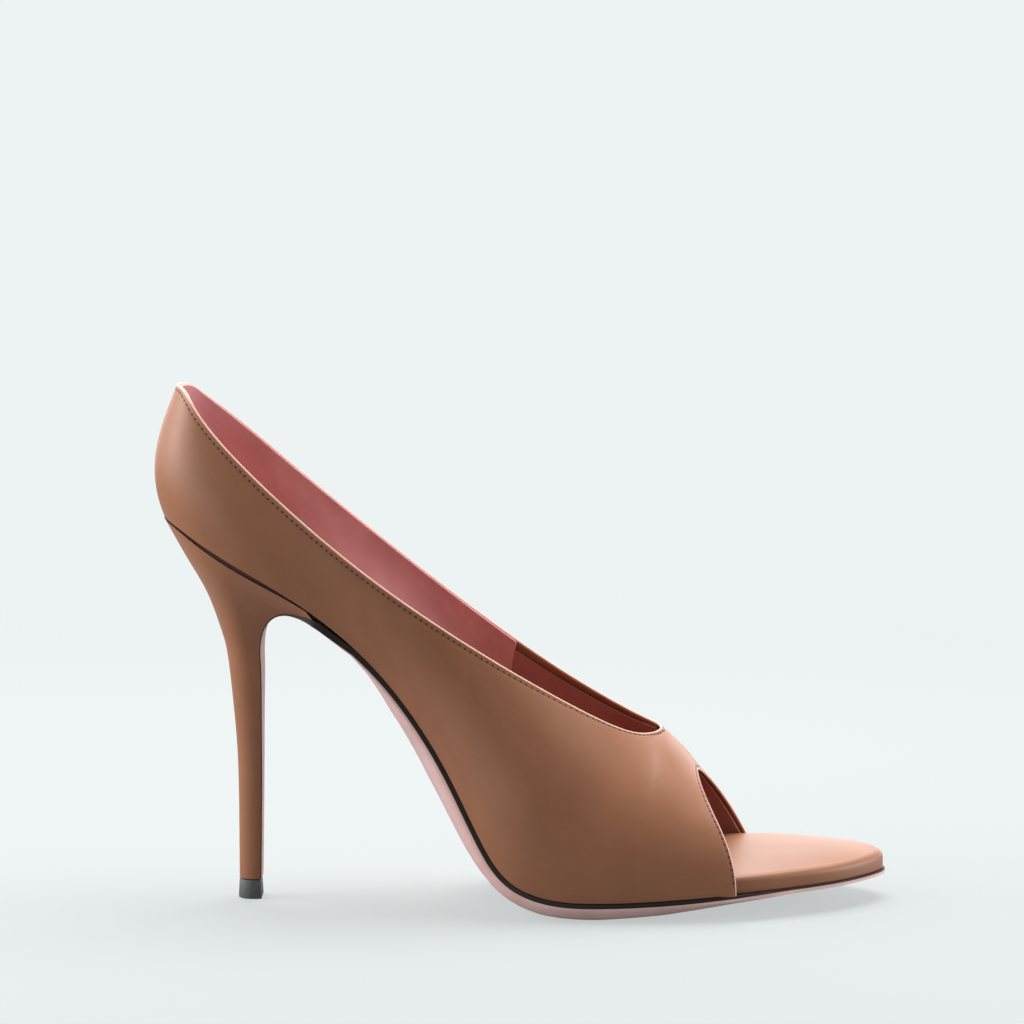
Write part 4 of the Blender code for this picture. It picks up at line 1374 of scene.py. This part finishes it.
@dataclass
class Outsole:
    """The leather sole with its painted edge, and its flap down the heel's front."""

    last: Last
    edge_paint: Material
    leather: Material
    feather_steps: int = 14
    tail_steps: int = 10
    corner: float = 0.12        # rounding of the edge's upper corner
    corner_angles: tuple = (90, 60, 30, 0)
    seam: float = 0.03          # gap above the sole
    flap_paint: float = 0.6     # painted share of the edge: on the flap
    lip_paint: float = 0.96     # near the heel's lip, where the sole's edge is dark all through
    lip_rows: int = 3           # rows of the flap over which that sets in
    paint: float = 0.66         # along the bottom
    paint_from: tuple = (53.0, 72.0)        # distances from the heel's back, mm
    toe_paint: float = 0.26     # and at the toe
    toe_paint_from: tuple = (150.0, 185.0)
    bevel_shares: tuple = (0.0, 0.15, 0.3, 0.45, 0.6, 0.8, 1.0)     # rings across the bevel
    crown_places: tuple = (0.0, 0.3, 1.0)   # shares of the bevel
    crown_shares: tuple = (0.0, 0.5, 0.85)  # share of the crown that is reached there

    def side(self, side: Side) -> Array:
        """One edge, flattened, from the flap's lower end to the point before the toe's tip."""
        last = self.last
        rows = between(TAIL, self.tail_steps)
        along = np.interp(rows, np.arange(len(TAIL)), last.sole.knots[:len(TAIL)])
        half = spline(np.arange(len(TAIL)), column(TAIL, side.name.lower()), rows)
        feather = between(FEATHER, self.feather_steps)
        feather = feather[last.feather_x(feather) > last.sizes.leave_x][:-1]
        line = last.edge_line(side, feather)
        line[:, 0] += last.sole.length - last.bottom.length
        return np.concatenate([np.stack([along, side.value * half], axis=-1), line])

    def painted(self, along: Array, x: Array) -> Array:
        """Painted share of the edge at lengths along the sole and distances from the heel's back."""
        knots = self.last.sole.knots
        bent = smooth_step(knots[SKIVED_TO - self.lip_rows], knots[SKIVED_TO], along)
        share = self.flap_paint + (self.lip_paint - self.flap_paint) * bent
        share = share + (self.paint - self.lip_paint) * smooth_step(*self.paint_from, x)
        return share + (self.toe_paint - self.paint) * smooth_step(*self.toe_paint_from, x)

    def build(self) -> None:
        """Rings down the painted edge and in along the bevel, then strips across the bottom."""
        last = self.last
        sizes = last.sizes
        tip = [[last.sole.length, float(last.feather_y(Side.LATERAL, len(FEATHER) - 1))]]
        line = np.concatenate([[[0.0, 0.0]], self.side(Side.LATERAL), tip, self.side(Side.MEDIAL)[::-1]])
        x = last.sole.point(line[:, 0])[:, 0]
        start, end = last.stations[TOE_FROM], last.stations[TOE_TO]
        toe_share = np.clip((x - start) / (end - start), 0, 1)
        loop = inset(line, sizes.sole_inset + toe_share * (sizes.toe_inset - sizes.sole_inset))
        width = np.abs(loop - loop[::-1])[:, 1]
        thick = last.sole_thick(line[:, 0])
        top = last.sole_top(line[:, 0]) - self.seam
        bevel = sizes.sole_bevel * np.clip(width / sizes.full_bevel_width, sizes.least_bevel, 1.0)
        full = last.feather_value("crown", x)
        bulge = last.feather_value("dome", x)
        crowns = spline(self.crown_places, self.crown_shares, self.bevel_shares)
        piece = Piece("outsole_leather")
        rings = []
        for angle in np.radians(self.corner_angles):
            drawn = inset(loop, self.corner * (1 - np.cos(angle)))
            rings.append(add_ring(piece, last.sole, drawn, top - self.corner * (1 - np.sin(angle))))
        corner = top - self.corner
        level = corner - (thick + sizes.gap + corner) * self.painted(line[:, 0], x)
        rings.append(add_ring(piece, last.sole, loop, level, -level))
        edge_rings = len(rings)
        for share, crown in zip(self.bevel_shares, crowns):
            drawn = inset(loop, bevel * share)
            level = -sizes.gap - thick - crown * full
            rings.append(add_ring(piece, last.sole, drawn, level, thick))
        rings = np.stack(rings)
        piece.ring_quads(rings[:edge_rings], 0)
        piece.ring_quads(rings[edge_rings - 1:], 1)
        strips(piece, last.sole, rings[0], inset(loop, self.corner), top, bulge, 0)
        strips(piece, last.sole, rings[-1], drawn, level, bulge + (1 - crowns[-1]) * full, 1)
        made = piece.make([self.edge_paint, self.leather], turn_out=True)
        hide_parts("outsole")


def heel_side(back: Array, front: Array, half_width: Array, front_half: Array, round_share: Array,
              steps: int) -> Array:
    """One side of each heel section, from its back to its front corner.

    The half width is half_width sqrt(1 - (1 - t)^2) over the rounded share, then bends to front_half.

    Args:
        back: x and z of each section's back.
        front: x and z of each section's front.
        half_width: half the width behind the front.
        front_half: half the width at the front.
        round_share: share of the depth that is rounded.
        steps: steps along the side.

    Returns:
        Points, sections first, then the places along the side.
    """
    share = 1 - np.cos(np.linspace(0, np.pi / 2, steps + 1))[None]
    bow = np.clip(share / round_share[:, None], 0, 1)
    ahead = np.clip((share - round_share[:, None]) / (1 - round_share[:, None]), 0, 1)
    half = half_width[:, None] * np.sqrt(1 - (1 - bow) ** 2)
    half = half + (front_half - half_width)[:, None] * ahead ** 2
    line = back[:, None] + share[..., None] * (front - back)[:, None]
    return np.stack([line[..., 0], half, line[..., 1]], axis=-1)


def even_rings(side: Array, across: int) -> Array:
    """Closed rings from one side of sections that are even about the middle."""
    lateral = side * (1, -1, 1)
    share = np.linspace(0, 1, across + 1)[1:-1, None]
    front = lateral[:, -1:] * (1 - share) + side[:, -1:] * share
    return np.concatenate([lateral, front, side[:, :0:-1]], axis=1)


@dataclass
class Heel:
    """The stiletto heel with its satin cover."""

    last: Last
    satin: Material
    # darker satin in the groove under the upper and on the seat's rims: painted shade of the recess
    dark_satin: Material
    steps: int = 8
    side_steps: int = 44
    across: int = 16
    seat_step: float = 1.7  # the way up to the seat, in steps of the sections below it
    seat_steps: int = 14
    groove: float = 1.6     # height of the groove under the upper, midway along the seat
    groove_ends: float = 0.05
    groove_depth: float = 1.9
    most_cut: float = 0.85  # largest share of the way up to the seat that the groove may take
    floor_rims: tuple = (0.08, 0.4, 1.0)    # rings of the groove's floor, and of the seat, in groove depths
    seat_rims: tuple = (1.5, 2.0)

    def build(self) -> None:
        """Rings from the top lift up to the seat, drawn smoothly through the sections, then the seat."""
        last = self.last
        sizes = last.sizes
        back = np.stack([column(HEEL, "back_x"), column(HEEL, "back_z")], axis=-1)
        flap = column(HEEL, "flap")
        front = last.sole.place(flap, 0.0, last.sole_top(flap))[:, [0, 2]]
        side = heel_side(back, front, column(HEEL, "half_width"), column(HEEL, "front_half"),
                         column(HEEL, "round_share"), self.side_steps)
        loop = self.seat_loop()
        along = np.clip((loop[:, 0] - loop[0, 0]) / np.ptp(loop[:, 0]), 0, 1)
        groove = self.groove_ends + (self.groove - self.groove_ends) * np.sin(np.pi * along)
        seat = last.bottom.place(loop[:, 0], loop[:, 1], -sizes.gap)
        sections = np.concatenate([even_rings(side, self.across), seat[None]])
        knots = np.append(np.arange(len(HEEL)), len(HEEL) - 1 + self.seat_step)
        top_steps = np.linspace(knots[-2], knots[-1], self.seat_steps + 1)[1:]
        fine = np.concatenate([between(HEEL, self.steps), top_steps])
        rings = spline(knots, sections, fine)
        exact_flap = spline(knots, np.append(flap, last.sole.along(sizes.lip_x)), fine)
        exact = last.sole.place(exact_flap, 0.0, last.sole_top(exact_flap))
        front_points = slice(self.side_steps, self.side_steps + self.across + 1)
        rings[:, front_points, 0] = exact[:, None, 0]
        rings[:, front_points, 2] = exact[:, None, 2]
        upper_part = rings[-self.seat_steps - 1:]
        trimmed = self.trim(upper_part, groove / np.linalg.norm(seat - upper_part[0], axis=1))
        rims = []
        for depth in self.floor_rims:
            drawn = inset(loop, np.full(len(loop), self.groove_depth * depth))
            rims.append(trimmed[-1] + last.bottom.place(drawn[:, 0], drawn[:, 1], -sizes.gap) - seat)
        for depth in self.seat_rims:
            drawn = inset(loop, np.full(len(loop), self.groove_depth * depth))
            rims.append(last.bottom.place(drawn[:, 0], drawn[:, 1], 0.0))
        joined = np.concatenate([rings[:-self.seat_steps], trimmed, np.stack(rims)])
        piece = Piece("heel_cover")
        up = np.broadcast_to(run_length(joined[:, 0])[:, None], joined.shape[:2])
        numbers = piece.add(joined, np.stack([run_length(joined, axis=1), up], axis=-1))
        outside = len(numbers) - len(rims)
        piece.ring_quads(numbers[:outside])
        # the groove's floor and the seat take the darker satin, painted shade in the recess
        piece.ring_quads(numbers[outside - 1:], 1)
        self.cap(piece, numbers[-1], joined[-1])
        self.cap(piece, numbers[0], joined[0])
        made = piece.make([self.satin, self.dark_satin], turn_out=True)
        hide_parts("heel")

    def seat_loop(self) -> Array:
        """The seat's edge, flattened: the feather line of both sides, closed across the lip."""
        last = self.last
        share = 1 - np.cos(np.linspace(0, np.pi / 2, self.side_steps + 1))
        rows = last.feather_row(last.stations[0] + share * (last.sizes.lip_x - last.stations[0]))
        lateral = last.edge_line(Side.LATERAL, rows)
        medial = last.edge_line(Side.MEDIAL, rows)
        part = np.linspace(0, 1, self.across + 1)[1:-1, None]
        lip = lateral[-1:] * (1 - part) + medial[-1:] * part
        return np.concatenate([lateral, lip, medial[:0:-1]])

    def trim(self, rings: Array, cut: Array) -> Array:
        """Rings that end lower, evened out over what is left of the way up.

        Args:
            rings: rings from the last section to the seat.
            cut: share of the way that the groove takes, for each place round the rings.

        Returns:
            The rings above the first.
        """
        steps = len(rings) - 1
        kept = 1 - np.clip(cut, 0, self.most_cut)
        place = np.linspace(0, 1, steps + 1)[1:, None] * kept * steps
        low = np.clip(place.astype(int), 0, steps - 1)
        part = (place - low)[..., None]
        pick = np.arange(rings.shape[1])
        return rings[low, pick] * (1 - part) + rings[low + 1, pick] * part

    def cap(self, piece: Piece, ring: Array, points: Array) -> None:
        """Close a ring of point numbers with strips from its lateral to its medial side."""
        sides = self.side_steps
        lateral = ring[:sides + 1]
        front = ring[sides + 1:sides + self.across]
        medial = np.concatenate([ring[:1], ring[:sides + self.across - 1:-1]])
        share = np.linspace(0, 1, self.across + 1)[1:-1, None]
        flat = points[1:sides, None] * (1 - share) + points[:sides + self.across:-1, None] * share
        inner = piece.add(flat, flat[..., :2])
        rows = np.column_stack([lateral[1:-1], inner, medial[1:-1]])
        start = np.full_like(rows[:1], ring[0])
        end = np.concatenate([lateral[-1:], front, medial[-1:]])[None]
        piece.quads(np.concatenate([start, rows, end]))


@dataclass
class TopLift:
    """The wearing piece under the heel."""

    last: Last
    rubber: Material
    bevel: float = 0.35
    bevel_middle: float = 0.3   # share of the bevel at its middle ring
    end_ring: float = 2.2       # how far in the inner ring of each end lies
    side_steps: int = 32
    across: int = 12

    def build(self) -> None:
        """Rings from the floor up, with bevelled rims, then both ends."""
        sizes = self.last.sizes
        middle = self.bevel * self.bevel_middle
        low = np.array([0.0, 0.0, middle, self.bevel])
        height = np.concatenate([low, sizes.lift_height - low[::-1]])
        drawn = np.array([self.end_ring, self.bevel, middle, 0.0])
        spread = sizes.lift_spread * (1 - height / sizes.lift_height) - np.concatenate([drawn, drawn[::-1]])
        back = np.stack([HEEL[0].back_x - spread, height], axis=-1)
        front = np.stack([TAIL[0].x + sizes.flap_thick + spread, height], axis=-1)
        side = heel_side(back, front, HEEL[0].half_width + spread, TAIL[0].lateral + spread,
                         np.full_like(spread, sizes.lift_round), self.side_steps)
        rings = even_rings(side, self.across)
        piece = Piece("lift_block")
        around = run_length(rings, axis=1)
        up = np.broadcast_to(height[:, None], around.shape)
        numbers = piece.add(rings, np.stack([around, up], axis=-1))
        piece.ring_quads(numbers)
        for ring, points in ((numbers[0], rings[0]), (numbers[-1], rings[-1])):
            tip = piece.add(points.mean(axis=0)[None], np.zeros((1, 2)))
            piece.ring_quads(np.stack([ring, np.full_like(ring, tip[0])]))
        made = piece.make([self.rubber], turn_out=True)
        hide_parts("top_lift")


class SoftBox(NamedTuple):
    """A rectangular light: where it stands and its two sides, m, and its power, W."""

    name: str
    spot: tuple
    size: tuple
    power: float


LIGHTS = (
    SoftBox("overhead", (0.05, 0.26, 0.95), (0.9, 0.7), 17.5),
    SoftBox("behind", (0.1, 1.3, 0.40), (2.4, 0.8), 17.0),
    SoftBox("behind_heel", (-0.95, 0.06, 0.45), (0.7, 0.7), 11.5),
    SoftBox("beyond_toe", (0.95, 0.02, 0.22), (0.5, 0.4), 6.5),
    SoftBox("near_heel", (-0.9, -0.8, 0.35), (0.6, 0.6), 3.5),
)


@dataclass
class Studio:
    """Floor, light and camera."""

    target: tuple = (103.5, 0.0, 113.4)     # design mm, at the picture's middle
    distance: float = 1150.0
    elevation: float = 6.2
    yaw: float = 0.5
    pixel: float = 0.29                     # mm to a pixel at the target
    frame_pixels: int = 1024
    sensor: float = 36.0
    clip: tuple = (0.01, 50.0)              # nearest and furthest that the camera sees, m
    backdrop: tuple = (0.847, 0.896, 0.896)
    ambient: float = 0.28                   # light from all round, as a share of the backdrop's
    aim: tuple = (0.0, 0.0, 0.07)           # the middle of the shoe, which the lights face, m
    floor_tone: float = 0.39                # how pale the floor is, so that lit it matches the backdrop
    floor_cover: float = 0.42               # how much of the backdrop the floor covers
    floor_rings: tuple = (0.0, 0.2, 0.45, 0.9, 1.6, 3.0)    # m
    floor_sides: int = 96
    floor_fade: tuple = (0.25, 0.8)         # distances over which the floor fades out, m

    def build(self) -> None:
        """Make the camera, the world, the lights and the floor."""
        self.camera()
        self.world()
        for light in LIGHTS:
            self.soft_box(light)
        self.floor()

    def camera(self) -> None:
        """Camera at the photograph's angle to the shoe."""
        up = math.radians(self.elevation)
        turn = math.radians(self.yaw)
        back = Vector((math.sin(turn) * math.cos(up), -math.cos(turn) * math.cos(up), math.sin(up)))
        data = bpy.data.cameras.new("photo_camera")
        data.sensor_width = self.sensor
        data.lens = self.sensor * self.distance / (self.pixel * self.frame_pixels)
        data.clip_start, data.clip_end = self.clip
        made = bpy.data.objects.new("photo_camera", data)
        target = Vector(self.target) - Vector((SIZES.middle_x, 0.0, 0.0))
        made.location = (target + back * self.distance) * MM
        made.rotation_euler = (math.pi / 2 - up, 0.0, turn)
        bpy.context.scene.collection.objects.link(made)
        bpy.context.scene.camera = made

    def world(self) -> None:
        """Even pale light from all round, in the backdrop's colour."""
        scene = bpy.context.scene
        scene.view_settings.view_transform = "Standard"
        made = bpy.data.worlds.new("studio_world")
        made.use_nodes = True
        nodes = made.node_tree.nodes
        links = made.node_tree.links
        sky = nodes["Background"]
        sky.inputs["Color"].default_value = (*self.backdrop, 1.0)
        ray = nodes.new("ShaderNodeLightPath")
        level = nodes.new("ShaderNodeMapRange")
        level.inputs["To Min"].default_value = self.ambient
        level.inputs["To Max"].default_value = 1.0
        links.new(ray.outputs["Is Camera Ray"], level.inputs["Value"])
        links.new(level.outputs["Result"], sky.inputs["Strength"])
        scene.world = made

    def soft_box(self, light: SoftBox) -> None:
        """A rectangular area light that faces the middle of the shoe."""
        data = bpy.data.lights.new(light.name, "AREA")
        data.shape = "RECTANGLE"
        data.size, data.size_y = light.size
        data.energy = light.power
        made = bpy.data.objects.new(light.name, data)
        made.location = light.spot
        aim = Vector(self.aim) - made.location
        made.rotation_euler = aim.to_track_quat("-Z", "Y").to_euler()
        made.visible_camera = False
        bpy.context.scene.collection.objects.link(made)

    def floor(self) -> None:
        """A pale round floor whose rim fades into the backdrop."""
        angle = np.linspace(0, 2 * np.pi, self.floor_sides + 1)[:-1]
        radius = np.array(self.floor_rings)[:, None] / MM
        level = np.zeros_like(radius * angle)
        points = np.stack([SIZES.middle_x + radius * np.cos(angle), radius * np.sin(angle), level], axis=-1)
        graph = Graph("pale_floor")
        place = graph.node("TexCoord").outputs["Object"]
        far = graph.node("VectorMath", {0: place}, operation="LENGTH").outputs["Value"]
        near, end = self.floor_fade
        reach = {"Value": far, "From Min": near, "From Max": end, "To Min": self.floor_cover, "To Max": 0.0}
        fade = graph.node("MapRange", reach, interpolation_type="SMOOTHSTEP")
        graph.feed(graph.shader, {
            "Base Color": (*(self.floor_tone * part for part in self.backdrop), 1.0),
            "Roughness": 0.9,
            "Specular IOR Level": 0.1,
            "Alpha": fade.outputs["Result"],
        })
        piece = Piece("studio_floor")
        piece.ring_quads(piece.add(points, points[..., :2])[::-1])
        made = piece.place([graph.material])


def main() -> None:
    """Build the shoe's pieces and the studio."""
    logging.basicConfig(level=logging.INFO, format="%(message)s")
    for name in ("Cube", "Light", "Camera"):
        if name in bpy.data.objects:
            bpy.data.objects.remove(bpy.data.objects[name])
    last = Last(SIZES)
    satin = Satin("brown_satin").material()
    upper = Upper(
        last,
        satin=satin,
        # pale peach copy of the satin for the folded edges: painted highlight on the fold
        edge_satin=Satin("peach_edge_highlight", (0.68, 0.38, 0.28), (0.76, 0.45, 0.34)).material(),
        quarter_leather=Leather("pink_lining", (0.59, 0.245, 0.250), (0.69, 0.31, 0.315), 0.4).material(),
        # darker rose: partly the vamp lining's own colour, partly painted shade inside the vamp
        vamp_leather=Leather("rose_lining_and_shade", (0.36, 0.135, 0.125), (0.44, 0.175, 0.16), 0.4).material(),
        thread=Thread("brown_thread", (0.17, 0.064, 0.030), (0.25, 0.096, 0.045)).material(),
        # dark brown for the needle holes: painted shade inside the holes
        hole=Leather("needle_hole_shade", (0.050, 0.022, 0.013), (0.075, 0.034, 0.020), 0.7).material(),
    )
    upper.build()
    Insole(last, satin).build()
    sole_leather = Leather("pink_sole", (0.66, 0.40, 0.37), (0.76, 0.50, 0.47), roughness=0.42).material()
    Outsole(last, EdgePaint("dark_edge").material(), sole_leather).build()
    # darker satin for the groove over the heel: painted shade of the recess under the upper
    dark_satin = Satin("painted_groove_shade", (0.115, 0.046, 0.030), (0.145, 0.060, 0.039), 0.7).material()
    Heel(last, satin, dark_satin).build()
    TopLift(last, Rubber("lift_rubber").material()).build()
    Studio().build()


if __name__ == "__main__":
    main()
